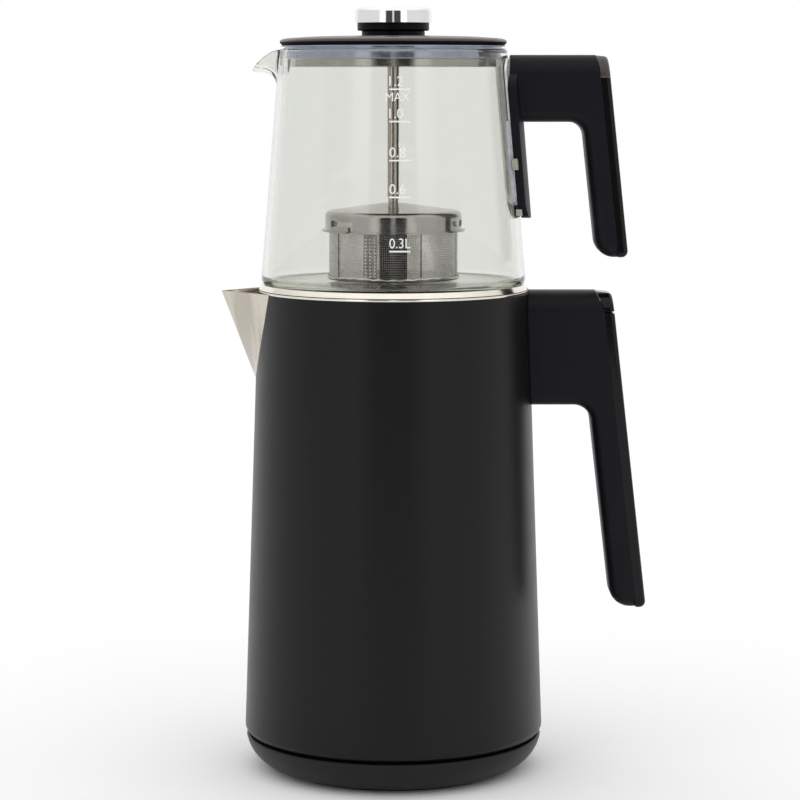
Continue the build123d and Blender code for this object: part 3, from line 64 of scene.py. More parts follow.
# ---- node trees ----------------------------------------------------------------------
class Graph:
    """A node tree under construction; calls return output sockets, ready for the next call."""

    def __init__(self, tree):
        self.tree = tree
        tree.nodes.clear()

    def add(self, kind, inputs=(), output=0, **settings):
        node = self.tree.nodes.new("ShaderNode" + kind)
        for name, value in settings.items():
            setattr(node, name, value)
        for key, value in dict(inputs).items():
            if isinstance(value, bpy.types.NodeSocket):
                self.tree.links.new(value, node.inputs[key])
            else:
                node.inputs[key].default_value = value
        return node.outputs[output]

    def math(self, operation, first, second=0.0):
        return self.add("Math", {0: first, 1: second}, operation=operation)

    def span(self, value, low, high, to_low=0.0, to_high=1.0):
        """value taken smoothly from low..high to to_low..to_high."""
        inputs = {0: value, 1: low, 2: high, 3: to_low, 4: to_high}
        return self.add("MapRange", inputs, interpolation_type="SMOOTHSTEP")

    def noise(self, vector, scale, detail=2.0, roughness=0.5):
        inputs = {"Vector": vector, "Scale": scale, "Detail": detail, "Roughness": roughness}
        return self.add("TexNoise", inputs)

    def mix(self, share, first, second):
        """Number mixed from first to second."""
        return self.add("Mix", {0: share, 2: first, 3: second})

    def blend(self, share, first, second):
        """Colour mixed from first to second, which are inputs 6 and 7 of the same node."""
        node = self.tree.nodes.new("ShaderNodeMix")
        node.data_type = "RGBA"
        for index, value in ((0, share), (6, first), (7, second)):
            if isinstance(value, bpy.types.NodeSocket):
                self.tree.links.new(value, node.inputs[index])
            else:
                node.inputs[index].default_value = value
        return node.outputs[2]

    def stretch(self, vector, scale):
        """vector scaled along each axis; under 1 draws a pattern out there, over 1 packs it."""
        return self.add("Mapping", {"Vector": vector, "Scale": scale})

    def bump(self, height, distance, normal=None):
        inputs = {"Height": height, "Distance": distance}
        if normal is not None:
            inputs["Normal"] = normal
        return self.add("Bump", inputs)

    def place(self):
        return self.add("TexCoord", output="Object")

    def round_place(self, turn_scale=0.0005):
        """(radius, height, a little of the angle), so that a pattern runs round the axis."""
        split = self.add("SeparateXYZ", {0: self.place()}).node
        x, y, z = split.outputs
        squares = self.math("ADD", self.math("MULTIPLY", x, x), self.math("MULTIPLY", y, y))
        radius = self.math("SQRT", squares)
        turn = self.math("MULTIPLY", self.math("ARCTAN2", y, x), turn_scale)
        return self.add("CombineXYZ", {0: radius, 1: z, 2: turn})

    def edges(self, radius, samples=4):
        """(normal rounded at the edges, mask that is 1 on an edge)."""
        rounded = self.add("Bevel", {"Radius": radius}, samples=samples)
        flat = self.add("NewGeometry", output="Normal")
        vectors = {0: rounded, 1: flat}
        same = self.add("VectorMath", vectors, output="Value", operation="DOT_PRODUCT")
        return rounded, self.span(same, 0.995, 0.88)


def rgba(colour):
    return (*colour, 1.0)


def shaded(colour, share):
    return rgba(channel * share for channel in colour)


def new_material(name, inputs):
    """(material, its graph, its principled shader); inputs are set on the shader's sockets."""
    material = bpy.data.materials.new(name)
    material.use_nodes = True
    graph = Graph(material.node_tree)
    shader = graph.add("BsdfPrincipled", inputs).node
    output = graph.tree.nodes.new("ShaderNodeOutputMaterial")
    graph.tree.links.new(shader.outputs[0], output.inputs["Surface"])
    return material, graph, shader


def feed(graph, shader, **sockets):
    """Links outputs to the shader's inputs; an underscore stands for a space in a name."""
    for name, socket in sockets.items():
        graph.tree.links.new(socket, shader.inputs[name.replace("_", " ")])


# ---- materials -----------------------------------------------------------------------
MOTTLE = 14 * MM             # patches of slightly different gloss on plastic
RIPPLE = 6 * MM              # on high gloss
WIPE = 9 * MM                # wiping marks on high gloss, before WIPE_PACK
WIPE_PACK = (1.0, 1.0, 14.0)
STEEL_CLOUD = 11 * MM
STREAK = 11 * MM             # across the spout's streaks
STREAK_LEAN = math.radians(28)
STREAK_DRAW = (1.0, 1.0, 0.12)
DISH_CLOUD = 9 * MM
DISH_EDGE = 51 * MM          # radius where the steam plate's dish ends
DISH_BLEND = 2 * MM
DISH_WANDER = 1.5 * MM       # how far the edge of its darker dish strays
GLASS_WAVE = 30 * MM
GLASS_DRAW = (1.0, 1.0, 0.25)
GLASS_IOR = 1.33             # a little under real glass, for soft edges
SILICONE_IOR = 1.41
SILICONE_CLOUD = 5 * MM
PRINT_GRAIN = 0.15 * MM


def plastic(
    name, colour, roughness, grain, depth, specular=0.35, wear_and_highlight=1.8, edge=0.35 * MM, brushed=False
):
    """Moulded plastic or matt paint: fine spark grain, mottled gloss, edges rubbed smoother and
    painted lighter, partly wear and partly a painted highlight.
    """
    material, graph, shader = new_material(name, {"Specular IOR Level": specular})
    place = graph.place()
    fine = graph.noise(graph.round_place() if brushed else place, 1 / grain, 2.0, 0.55)
    mottle = graph.noise(place, 1 / MOTTLE, 4.0, 0.6)
    rounded, edge_mask = graph.edges(edge)
    # The edges are painted lighter: partly wear, partly a painted highlight.
    rub_and_highlight = graph.math("MULTIPLY", edge_mask, graph.span(mottle, 0.35, 0.65, 0.35, 1.0))
    base = graph.blend(graph.span(mottle, 0.3, 0.7), shaded(colour, 0.95), shaded(colour, 1.05))
    base = graph.blend(graph.math("MULTIPLY", rub_and_highlight, 0.6), base, shaded(colour, wear_and_highlight))
    rough = graph.span(mottle, 0.3, 0.7, roughness - 0.012, roughness + 0.012)
    rough = graph.math("SUBTRACT", rough, graph.math("MULTIPLY", rub_and_highlight, 0.12))
    normal = graph.bump(fine, depth, rounded)
    feed(graph, shader, Base_Color=base, Roughness=rough, Normal=normal)
    return material


def gloss(name, colour, roughness=0.07, specular=0.5, peel=0.0025 * MM, edge=0.3 * MM):
    """High gloss moulding: faint ripple, fine wiping marks, edges a little duller."""
    material, graph, shader = new_material(
        name, {"Base Color": rgba(colour), "Specular IOR Level": specular}
    )
    place = graph.place()
    ripple = graph.noise(place, 1 / RIPPLE, 1.0)
    wipes = graph.noise(graph.stretch(place, WIPE_PACK), 1 / WIPE, 5.0, 0.7)
    rounded, edge_mask = graph.edges(edge)
    rough = graph.span(wipes, 0.35, 0.75, roughness, roughness + 0.06)
    rough = graph.math("ADD", rough, graph.math("MULTIPLY", edge_mask, 0.1))
    normal = graph.bump(ripple, peel, rounded)
    feed(graph, shader, Roughness=rough, Normal=normal)
    return material


def metal(name, colour, roughness, line, depth, stain=0.12, edge=0.25 * MM):
    """Turned metal: lines round the axis, a slightly cloudy sheen and bright rubbed edges."""
    material, graph, shader = new_material(name, {"Metallic": 1.0})
    lines = graph.noise(graph.round_place(), 1 / line, 3.0, 0.6)
    cloud = graph.noise(graph.place(), 1 / STEEL_CLOUD, 4.0, 0.6)
    rounded, edge_mask = graph.edges(edge)
    share = graph.math("MULTIPLY", graph.math("ADD", lines, cloud), 0.5)
    base = graph.blend(
        graph.span(share, 0.38, 0.62), shaded(colour, 1 - stain), shaded(colour, 1 + stain / 2)
    )
    base = graph.blend(graph.math("MULTIPLY", edge_mask, 0.5), base, shaded(colour, 1.15))
    rough = graph.span(share, 0.36, 0.64, roughness * 0.75, roughness * 1.3)
    normal = graph.bump(lines, depth, rounded)
    feed(graph, shader, Base_Color=base, Roughness=rough, Normal=normal)
    return material


def streaked_metal(name, colour, roughness):
    """Folded sheet: warm streaks that run down along the spout's ridge."""
    material, graph, shader = new_material(name, {"Metallic": 1.0})
    lean = {"Vector": graph.place(), "Rotation": (0.0, STREAK_LEAN, 0.0), "Scale": STREAK_DRAW}
    streaks = graph.noise(graph.add("Mapping", lean), 1 / STREAK, 2.0, 0.45)
    fine = graph.noise(graph.add("Mapping", lean), 1 / (0.5 * MM), 2.0)
    rounded, edge_mask = graph.edges(0.5 * MM)
    base = graph.blend(graph.span(streaks, 0.36, 0.62), shaded(colour, 0.84), shaded(colour, 1.1))
    warm = (colour[0] * 0.62, colour[1] * 0.5, colour[2] * 0.4)
    base = graph.blend(graph.math("MULTIPLY", edge_mask, 0.8), base, rgba(warm))
    rough = graph.span(streaks, 0.36, 0.62, roughness * 1.3, roughness * 0.8)
    normal = graph.bump(fine, 0.0008 * MM, rounded)
    feed(graph, shader, Base_Color=base, Roughness=rough, Normal=normal)
    return material


def dished_metal(name, dish, flange, roughness):
    """Drawn steam plate: darker in its dish, bright on its flat flange."""
    material, graph, shader = new_material(name, {"Metallic": 1.0})
    split = graph.add("SeparateXYZ", {0: graph.round_place()}).node
    cloud = graph.noise(graph.place(), 1 / DISH_CLOUD, 4.0, 0.6)
    reach = graph.math("ADD", split.outputs[0], graph.math("MULTIPLY", cloud, DISH_WANDER))
    rings = graph.noise(graph.round_place(), 1 / (0.8 * MM), 2.0)
    on_flange = graph.span(reach, DISH_EDGE, DISH_EDGE + DISH_BLEND)
    base = graph.blend(on_flange, rgba(dish), rgba(flange))
    base = graph.blend(graph.span(cloud, 0.3, 0.7, 0.0, 0.25), base, shaded(dish, 0.8))
    rough = graph.span(rings, 0.35, 0.65, roughness - 0.04, roughness + 0.06)
    rounded, _ = graph.edges(0.25 * MM)
    normal = graph.bump(rings, 0.0006 * MM, rounded)
    feed(graph, shader, Base_Color=base, Roughness=rough, Normal=normal)
    return material


def clear_glass(name, tint):
    """Blown glass: clear and smooth, with long faint waves."""
    inputs = {
        "Base Color": rgba(tint),
        "IOR": GLASS_IOR,
        "Transmission Weight": 1.0,
        "Roughness": 0.0,
    }
    material, graph, shader = new_material(name, inputs)
    waves = graph.noise(graph.stretch(graph.place(), GLASS_DRAW), 1 / GLASS_WAVE, 1.0)
    feed(graph, shader, Normal=graph.bump(waves, 0.012 * MM))
    return material


def translucent(name, colour, roughness, transmission, grain, depth, metallic=0.0):
    """Silicone or cured glue: cloudy, half clear, softly wavy."""
    inputs = {
        "IOR": SILICONE_IOR,
        "Transmission Weight": transmission,
        "Specular IOR Level": 0.4,
        "Metallic": metallic,
    }
    material, graph, shader = new_material(name, inputs)
    place = graph.place()
    cloud = graph.noise(place, 1 / SILICONE_CLOUD, 3.0)
    fine = graph.noise(place, 1 / grain, 2.0)
    base = graph.blend(graph.span(cloud, 0.3, 0.7), shaded(colour, 0.9), shaded(colour, 1.08))
    rough = graph.span(cloud, 0.3, 0.7, roughness - 0.06, roughness + 0.06)
    feed(graph, shader, Base_Color=base, Roughness=rough, Normal=graph.bump(fine, depth))
    return material


def enamel(name, colour):
    """Fired print: slightly grainy at its face."""
    material, graph, shader = new_material(name, {"Roughness": 0.45})
    fine = graph.noise(graph.place(), 1 / PRINT_GRAIN, 2.0)
    base = graph.blend(graph.span(fine, 0.3, 0.7), shaded(colour, 0.93), rgba(colour))
    feed(graph, shader, Base_Color=base, Normal=graph.bump(fine, 0.01 * MM))
    return material


finishes = {
    "black_plastic": plastic(
        "black_plastic", (0.010, 0.010, 0.0102), 0.42, 0.35 * MM, 0.012 * MM, 0.22
    ),
    "foot_rubber": plastic(
        "foot_rubber", (0.02, 0.02, 0.021), 0.8, 0.5 * MM, 0.03 * MM, 0.2, 1.3
    ),
    "inner_plastic": plastic("inner_plastic", (0.05, 0.05, 0.052), 0.5, 0.4 * MM, 0.012 * MM),
    "black_coating": plastic(
        "black_coating", (0.0042, 0.0042, 0.0043), 0.36, 0.3 * MM, 0.006 * MM, 0.22, 2.2,
        brushed=True,
    ),
    # Its wide lighter edges are as much a painted highlight as wear.
    "handle_plastic": plastic(
        "handle_plastic", (0.0054, 0.0049, 0.0082), 0.47, 0.3 * MM, 0.012 * MM, 0.15,
        edge=1.2 * MM,
    ),
    "gloss_black": gloss("gloss_black", (0.005, 0.0045, 0.0045), specular=0.2),
    "screw_steel": metal("screw_steel", (0.5, 0.5, 0.5), 0.3, 0.12 * MM, 0.004 * MM),
    "contact_brass": metal("contact_brass", (0.72, 0.52, 0.24), 0.28, 0.15 * MM, 0.004 * MM),
    "bimetal": metal("bimetal", (0.6, 0.55, 0.45), 0.3, 0.2 * MM, 0.003 * MM),
    "brushed_steel": metal("brushed_steel", (0.46, 0.44, 0.41), 0.3, 0.2 * MM, 0.005 * MM),
    "polished_steel": metal("polished_steel", (0.58, 0.55, 0.49), 0.14, 0.25 * MM, 0.0015 * MM),
    "mesh_steel": metal("mesh_steel", (0.93, 0.90, 0.87), 0.28, 0.2 * MM, 0.002 * MM),
    "heater_aluminium": metal(
        "heater_aluminium", (0.62, 0.63, 0.64), 0.38, 0.3 * MM, 0.006 * MM
    ),
    "chrome_trim": metal(
        "chrome_trim", (0.86, 0.86, 0.88), 0.05, 0.3 * MM, 0.0004 * MM, stain=0.04
    ),
    "clear_glass": clear_glass("clear_glass", (0.85, 0.857, 0.83)),
    "adhesive": translucent("adhesive", (0.62, 0.65, 0.52), 0.3, 0.45, 0.8 * MM, 0.01 * MM),
    "seal_silicone": translucent(
        "seal_silicone", (0.42, 0.445, 0.54), 0.16, 0.0, 2.0 * MM, 0.002 * MM, metallic=0.7
    ),
    "print_white": enamel("print_white", (0.97, 0.97, 0.97)),
    # Pale lavender: a painted highlight of the glass's edge, beside the teapot handle's plate.
    "highlight_strip_pale": translucent(
        "highlight_strip_pale", (0.55, 0.55, 0.62), 0.3, 0.0, 0.6 * MM, 0.004 * MM
    ),
    "lid_gloss": gloss("lid_gloss", (0.050, 0.040, 0.038), 0.3, 0.45),
    "rim_steel": metal("rim_steel", (0.84, 0.80, 0.71), 0.12, 0.3 * MM, 0.001 * MM, stain=0.06),
    "rod_steel": metal("rod_steel", (0.47, 0.42, 0.37), 0.1, 0.3 * MM, 0.001 * MM, stain=0.06),
    "pan_steel": metal(
        "pan_steel", (0.44, 0.425, 0.375), 0.2, 0.6 * MM, 0.0006 * MM, stain=0.06, edge=1.0 * MM
    ),
    "spout_steel": streaked_metal("spout_steel", (0.56, 0.52, 0.455), 0.2),
    # Near-black steel: painted dark reflection and shade on the basket's front seam and stays, and
    # in the rim's seam line.
    "shade_black_steel": metal("shade_black_steel", (0.042, 0.038, 0.035), 0.4, 0.2 * MM, 0.002 * MM),
    "cover_steel": metal(
        "cover_steel", (0.45, 0.43, 0.41), 0.16, 0.6 * MM, 0.0002 * MM, stain=0.03
    ),
    # Darker steel: a painted dark reflection on the basket's cup and lap.
    "band_shade_steel": metal(
        "band_shade_steel", (0.23, 0.22, 0.21), 0.2, 0.4 * MM, 0.001 * MM, stain=0.08
    ),
    "pale_plate": metal(
        "pale_plate", (0.9, 0.89, 0.88), 0.45, 0.6 * MM, 0.0004 * MM, stain=0.03
    ),
    "pot_steel": metal(
        "pot_steel", (0.86, 0.84, 0.80), 0.42, 0.6 * MM, 0.0006 * MM, stain=0.03
    ),
    "satin_black": plastic(
        "satin_black", (0.0045, 0.0042, 0.0042), 0.4, 0.4 * MM, 0.004 * MM, 0.1
    ),
    # Near black and matt: painted shade under the lid's edge and in the gap under the rocker.
    "lid_shade_black": plastic("lid_shade_black", (0.004, 0.0035, 0.0035), 0.6, 0.4 * MM, 0.004 * MM, 0.05),
    "plate_steel": dished_metal("plate_steel", (0.36, 0.345, 0.32), (0.8, 0.79, 0.75), 0.2),
}

# CAD nodes whose finish is a variant of their record slot's.
node_finishes = {
    "lid_cap": "lid_gloss",
    "teapot_handle_top_cap": "lid_gloss",
    "kettle_rim": "rim_steel",
    "infuser_rod": "rod_steel",
    "basket_cover": "cover_steel",
    "kettle_spout": "spout_steel",
    "basket_band": "band_shade_steel",
    "teapot_handle_plate": "pale_plate",
    "knob_base": "satin_black",
    "lid_collar": "satin_black",
    "lid_pan": "pan_steel",
    "inner_pot": "pot_steel",
    "steam_plate": "plate_steel",
}
for name, node in nodes.items():
    for material_slot in node.material_slots:
        slot = material_slot.material.name.split(".")[0]
        material_slot.material = finishes[node_finishes.get(name, slot)]


# ---- new pieces ----------------------------------------------------------------------
CORNER_STEPS = 4             # pieces of each rounded corner's arc
SHARP = math.radians(35)     # a turned piece shades flat across edges sharper than this
WELD = 0.001 * MM


def box_mm(node):
    """(lowest, highest) corner of a CAD node in millimetres."""
    return [Vector(corner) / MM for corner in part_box(node)]


def linked(name, data):
    made = bpy.data.objects.new(name, data)
    bpy.context.scene.collection.objects.link(made)
    return made


def new_piece(name, body, finish, points, faces, smooth=True, slot=None):
    """Closed mesh, its points in metres, that rides a body and is dressed in a finish."""
    mesh = bpy.data.meshes.new(name)
    mesh.from_pydata(points, [], faces)
    mesh.polygons.foreach_set("use_smooth", [smooth] * len(faces))
    return dressed(name, mesh, body, finish, slot)


def dressed(name, mesh, body, finish, slot=None):
    """Piece with a finish; slot is not used."""
    mesh.materials.clear()
    mesh.materials.append(finishes[finish])
    piece = linked(name, mesh)
    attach(piece, body)
    slot = slot or finish
    return piece


def polar(radius, turn, height):
    """Point in metres from a radius and height in millimetres and an angle in radians."""
    return (radius * math.cos(turn) * MM, radius * math.sin(turn) * MM, height * MM)


def smoothstep(share):
    share = min(max(share, 0.0), 1.0)
    return share * share * (3 - 2 * share)


def grid_faces(rows, columns, close_rows=False, close_columns=False, start=0):
    """Quads between rows of points that start at point start; columns is a row's points."""
    faces = []
    for row in range(rows - (not close_rows)):
        for column in range(columns - (not close_columns)):
            after_row = (row + 1) % rows
            after = (column + 1) % columns
            corners = ((row, column), (row, after), (after_row, after), (after_row, column))
            faces.append([start + r * columns + c for r, c in corners])
    return faces


def square_ends(start, spans):
    """End faces of a bar whose spans + 1 rows of four points begin at point start."""
    last = start + 4 * spans
    return [[start + corner for corner in (3, 2, 1, 0)], [last + corner for corner in range(4)]]


def ring_faces(rim, per_side):
    """Quads round the edge between two sides of a sheet, per_side points apart."""
    return [[a, b, b + per_side, a + per_side] for a, b in zip(rim, rim[1:] + rim[:1])]


def rounded_outline(corners):
    """Closed outline whose corners, each (x, y, radius), are replaced by arcs."""
    outline = []
    for index, (x, y, radius) in enumerate(corners):
        here = Vector((x, y))
        before = Vector(corners[index - 1][:2]) - here
        after = Vector(corners[(index + 1) % len(corners)][:2]) - here
        half_turn = before.angle(after) / 2
        reach = min(radius / math.tan(half_turn), 0.48 * before.length, 0.48 * after.length)
        first = here + before.normalized() * reach
        last = here + after.normalized() * reach
        for step in range(CORNER_STEPS + 1):
            share = step / CORNER_STEPS
            bent = first * (1 - share) ** 2 + here * 2 * share * (1 - share) + last * share**2
            outline.append((bent.x, bent.y))
    return outline


def turned_piece(name, body, finish, outline, slot=None, turns=240):
    """Ring made by turning a closed (radius, height) outline in millimetres round Z.

    Points on the axis are welded, so an outline that touches it makes a disc.
    """
    points = [polar(r, 2 * math.pi * turn / turns, z) for turn in range(turns) for r, z in outline]
    faces = grid_faces(turns, len(outline), close_rows=True, close_columns=True)
    piece = new_piece(name, body, finish, points, faces, slot=slot)
    if min(r for r, z in outline) == 0:
        shape = bmesh.new()
        shape.from_mesh(piece.data)
        bmesh.ops.remove_doubles(shape, verts=shape.verts, dist=WELD)
        shape.to_mesh(piece.data)
        shape.free()
    piece.data.set_sharp_from_angle(angle=SHARP)
    return piece


# ---- glass jug -----------------------------------------------------------------------
# From here to the floor, lengths are in millimetres, and points of a mesh in metres.
glass_low, glass_high = box_mm("glass_jug")
GLASS_FLOOR_Z = glass_low.z
GLASS_RIM_Z = glass_high.z
GLASS_FOOT_RADIUS = glass_high.y
GLASS_TOP_RADIUS = 57.8
GLASS_WALL = 2.8
GLASS_CORNER = 5.0           # outer radius between its floor and wall
GLASS_INNER_CORNER = 3.4
GLASS_TURNS = 288            # points round the glass
FLOOR_STEPS = 6              # rings across its floor
ARC_STEPS = 8                # round a corner, and over the rim
WALL_STEPS = 12              # up the wall below the lip
LIP_STEPS = 16               # up the lip
LIP_START = 18.0             # the pouring lip begins this far below the rim
LIP_HALF = 15.0              # and leaves the round rim this far from its middle
LIP_TIP_HALF = 2.5
LIP_PATH = ((0.0, 0.0), (0.2, 6.0), (5.6, 8.1), (12.0, 7.9))   # outwards and up from its start
LIP_DIP = 2.2                # how late the rim dips on its way out to the tip


def glass_radius(z):
    """Outside radius of the glass wall."""
    low = GLASS_FLOOR_Z + GLASS_CORNER
    along = (z - low) / (GLASS_RIM_Z - low)
    return GLASS_FOOT_RADIUS + along * (GLASS_TOP_RADIUS - GLASS_FOOT_RADIUS)


def lip_path(along):
    """The middle of the lip's wall as (radius, height), and the wall's direction there."""
    weights = (
        (1 - along) ** 3,
        3 * along * (1 - along) ** 2,
        3 * along**2 * (1 - along),
        along**3,
    )
    slopes = (
        -3 * (1 - along) ** 2,
        3 * (1 - along) * (1 - 3 * along),
        3 * along * (2 - 3 * along),
        3 * along**2,
    )
    start_z = GLASS_RIM_Z - LIP_START
    start = Vector((glass_radius(start_z) - GLASS_WALL / 2, start_z))
    middle = start + sum((Vector(p) * w for p, w in zip(LIP_PATH, weights)), Vector((0, 0)))
    run = sum((Vector(p) * w for p, w in zip(LIP_PATH, slopes)), Vector((0, 0))).normalized()
    return middle, run


def glass_stations():
    """The glass's section from the middle of its underside, over the rim, to its inner floor.

    A station is (radius, height) below the lip, or (along, past, out) where the lip may
    pull it: along the wall, past its end and out of its middle.
    """
    half = GLASS_WALL / 2
    arc = [math.radians(90 * step / ARC_STEPS) for step in range(ARC_STEPS + 1)]
    low_x = GLASS_FOOT_RADIUS - GLASS_CORNER
    wall_low = GLASS_FLOOR_Z + GLASS_CORNER
    wall_high = GLASS_RIM_Z - LIP_START
    inner_z = GLASS_FLOOR_Z + GLASS_WALL + GLASS_INNER_CORNER
    inner_x = glass_radius(inner_z) - GLASS_WALL - GLASS_INNER_CORNER

    stations = [(low_x * step / FLOOR_STEPS, GLASS_FLOOR_Z) for step in range(1, FLOOR_STEPS)]
    for turn in arc:
        x = low_x + GLASS_CORNER * math.sin(turn)
        stations.append((x, GLASS_FLOOR_Z + GLASS_CORNER * (1 - math.cos(turn))))
    steps = range(1, WALL_STEPS)
    walls = [wall_low + (wall_high - wall_low) * step / WALL_STEPS for step in steps]
    stations += [(glass_radius(z), z) for z in walls]
    stations += [(step / LIP_STEPS, 0.0, half) for step in range(LIP_STEPS + 1)]
    for step in range(1, ARC_STEPS):
        turn = math.radians(180 * step / ARC_STEPS)
        stations.append((1.0, half * math.sin(turn), half * math.cos(turn)))
    stations += [((LIP_STEPS - step) / LIP_STEPS, 0.0, -half) for step in range(LIP_STEPS + 1)]
    stations += [(glass_radius(z) - GLASS_WALL, z) for z in reversed(walls)]
    for turn in reversed(arc):
        x = inner_x + GLASS_INNER_CORNER * math.sin(turn)
        stations.append((x, inner_z - GLASS_INNER_CORNER * math.cos(turn)))
    for step in range(FLOOR_STEPS - 1, 0, -1):
        stations.append((inner_x * step / FLOOR_STEPS, GLASS_FLOOR_Z + GLASS_WALL))
    return stations


def glass_point(station, turn):
    """Point of the glass; the lip pulls the wall outwards at -X."""
    if len(station) == 2:
        return polar(station[0], turn, station[1])
    along, past, out = station
    start_z = GLASS_RIM_Z - LIP_START
    end_z = GLASS_RIM_Z - GLASS_WALL / 2
    z = start_z + along * (end_z - start_z)
    plain = Vector((glass_radius(z) - GLASS_WALL / 2 + out, z + past))
    middle, run = lip_path(along)
    normal = Vector((run.y, -run.x))
    pulled = middle + run * past + normal * out
    side = abs(math.sin(turn)) * glass_radius(z)
    if math.cos(turn) > 0:
        side = LIP_HALF
    share = smoothstep((LIP_HALF - side) / (LIP_HALF - LIP_TIP_HALF))
    move = pulled - plain
    return polar(plain.x + move.x * share, turn, plain.y + move.y * share**LIP_DIP)


stations = glass_stations()
points = []
for station in stations:
    for column in range(GLASS_TURNS):
        points.append(glass_point(station, 2 * math.pi * column / GLASS_TURNS))
faces = grid_faces(len(stations), GLASS_TURNS, close_columns=True)
# The underside and the inner floor each close with a fan round the axis.
for row, height in ((0, GLASS_FLOOR_Z), (len(stations) - 1, GLASS_FLOOR_Z + GLASS_WALL)):
    points.append((0.0, 0.0, height * MM))
    for column in range(GLASS_TURNS):
        ends = (row * GLASS_TURNS + column, row * GLASS_TURNS + (column + 1) % GLASS_TURNS)
        faces.append([len(points) - 1, *(ends if row else reversed(ends))])
glass = new_piece("glass_jug_blown", "teapot", "clear_glass", points, faces)
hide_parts("glass_jug")


# ---- printed scale -------------------------------------------------------------------
PRINT_LEFT = -1.8            # the marks start here, from the middle of the glass's front
PRINT_WIDTH = 10.4
PRINT_STROKE = 0.75
PRINT_FILM = 0.06            # thickness of the fired print
PRINT_LIFT = 0.01            # its underside above the glass
DIGIT_HEIGHT = 4.8
DIGIT_GAP = 1.2              # between a number and its line
TEXT_HALF = 0.5              # half the thickness of the letters before they are flattened
BAR_COLUMNS = 24             # pieces of a printed line, round the glass
# Each number and the height of its line.
SCALE = (("1.2", 349.8), ("1.0", 334.2), ("0.8", 315.3), ("0.6", 297.5), ("0.3L", 271.2))
MAX_WIDTH = 11.6
MAX_HEIGHT = 4.2
MAX_CENTRE = 2.3             # from the middle of the glass's front


def on_glass(across, height, lift):
    """Point on the glass's front, by its distance along the wall from the middle."""
    radius = glass_radius(height)
    return polar(radius + PRINT_LIFT + lift, across / radius - math.pi / 2, height)


def curved_bar(name, left, width, low, high):
    """Thin printed line that follows the glass."""
    points = []
    for column in range(BAR_COLUMNS + 1):
        across = left + width * column / BAR_COLUMNS
        for height, lift in ((low, 0), (high, 0), (high, PRINT_FILM), (low, PRINT_FILM)):
            points.append(on_glass(across, height, lift))
    faces = grid_faces(BAR_COLUMNS + 1, 4, close_columns=True)
    faces += [face[::-1] for face in square_ends(0, BAR_COLUMNS)]
    return new_piece(name, "teapot", "print_white", points, faces, smooth=False)


def printed_word(name, words, left, low, height, width=None):
    """Generic marks in the plain built-in typeface, wrapped on the glass."""
    curve = bpy.data.curves.new(name, "FONT")
    curve.body = words
    curve.extrude = TEXT_HALF
    curve.resolution_u = 5
    text = linked(name + "_text", curve)
    bpy.context.view_layer.update()
    mesh = bpy.data.meshes.new_from_object(text)
    bpy.data.objects.remove(text)
    corners = [vertex.co.copy() for vertex in mesh.vertices]
    low_x, high_x = min(c.x for c in corners), max(c.x for c in corners)
    low_y, high_y = min(c.y for c in corners), max(c.y for c in corners)
    tall = height / (high_y - low_y)
    wide = width / (high_x - low_x) if width else tall
    for vertex in mesh.vertices:
        across = left + (vertex.co.x - low_x) * wide
        rise = low + (vertex.co.y - low_y) * tall
        vertex.co = on_glass(across, rise, (vertex.co.z + TEXT_HALF) * PRINT_FILM)
    return dressed(name, mesh, "teapot", "print_white")


for index, (words, height) in enumerate(SCALE):
    line_low, line_high = height - PRINT_STROKE / 2, height + PRINT_STROKE / 2
    curved_bar(f"scale_line_{index}", PRINT_LEFT, PRINT_WIDTH, line_low, line_high)
    width = PRINT_WIDTH if words.endswith("L") else None
    printed_word(
        f"scale_number_{index}", words, PRINT_LEFT, line_high + DIGIT_GAP, DIGIT_HEIGHT, width
    )
max_low = SCALE[0][1] - PRINT_STROKE / 2 - DIGIT_GAP - MAX_HEIGHT
printed_word("scale_max", "MAX", MAX_CENTRE - MAX_WIDTH / 2, max_low, MAX_HEIGHT, MAX_WIDTH)


# ---- woven basket --------------------------------------------------------------------
WIRE = 0.32                  # thickness of a wire
WIRE_PITCH = 0.9
WEAVE = 0.07                 # how far a wire bends round the ones that it crosses
BAND_TOP_Z = 255.1           # the band's wall ends at its hem, so the weave shows down to there
STAY_TURNS = (-56.6, 24.9, 74.8)     # degrees round from the front, as the lap's
STAY_HALF = 0.28
STAY_PROUD = 0.1
LAP_TURNS = (-24.6, -20.4, -16.2)    # columns of weld dots on the lap
LAP_SPAN = (-26.8, -14.2)
LAP_SHEET = 0.06
LAP_CLEARANCE = 0.02         # between the wires and what stands on them
SHADE_SHEET_DEPTH = 0.3          # of the dark sheet behind the seam's weave, a painted shade
SHADE_SHEET_THICKNESS = 0.15
STRIP_COLUMNS = 8            # pieces of a strip, round the basket
DOT_PITCH = 1.7
DOT_MARGIN = 1.0             # the lowest dot's height above the band
DOT_RADIUS = 0.6
DOT_RISE = 0.5               # height of a dot over its radius
DOT_ROOT = 0.1               # depth of its underside's middle
DOT_SIDES = 10
DOT_LEVELS = 4

mesh_low, mesh_high = box_mm("basket_mesh")
seam_low, seam_high = box_mm("basket_seam")
woven_radius = mesh_high.y - WIRE - WEAVE
seam_radius = -seam_low.y - WIRE
seam_half = math.asin(seam_high.x / seam_radius) - WIRE / seam_radius
lap_radius = woven_radius + WEAVE + WIRE / 2 + LAP_CLEARANCE


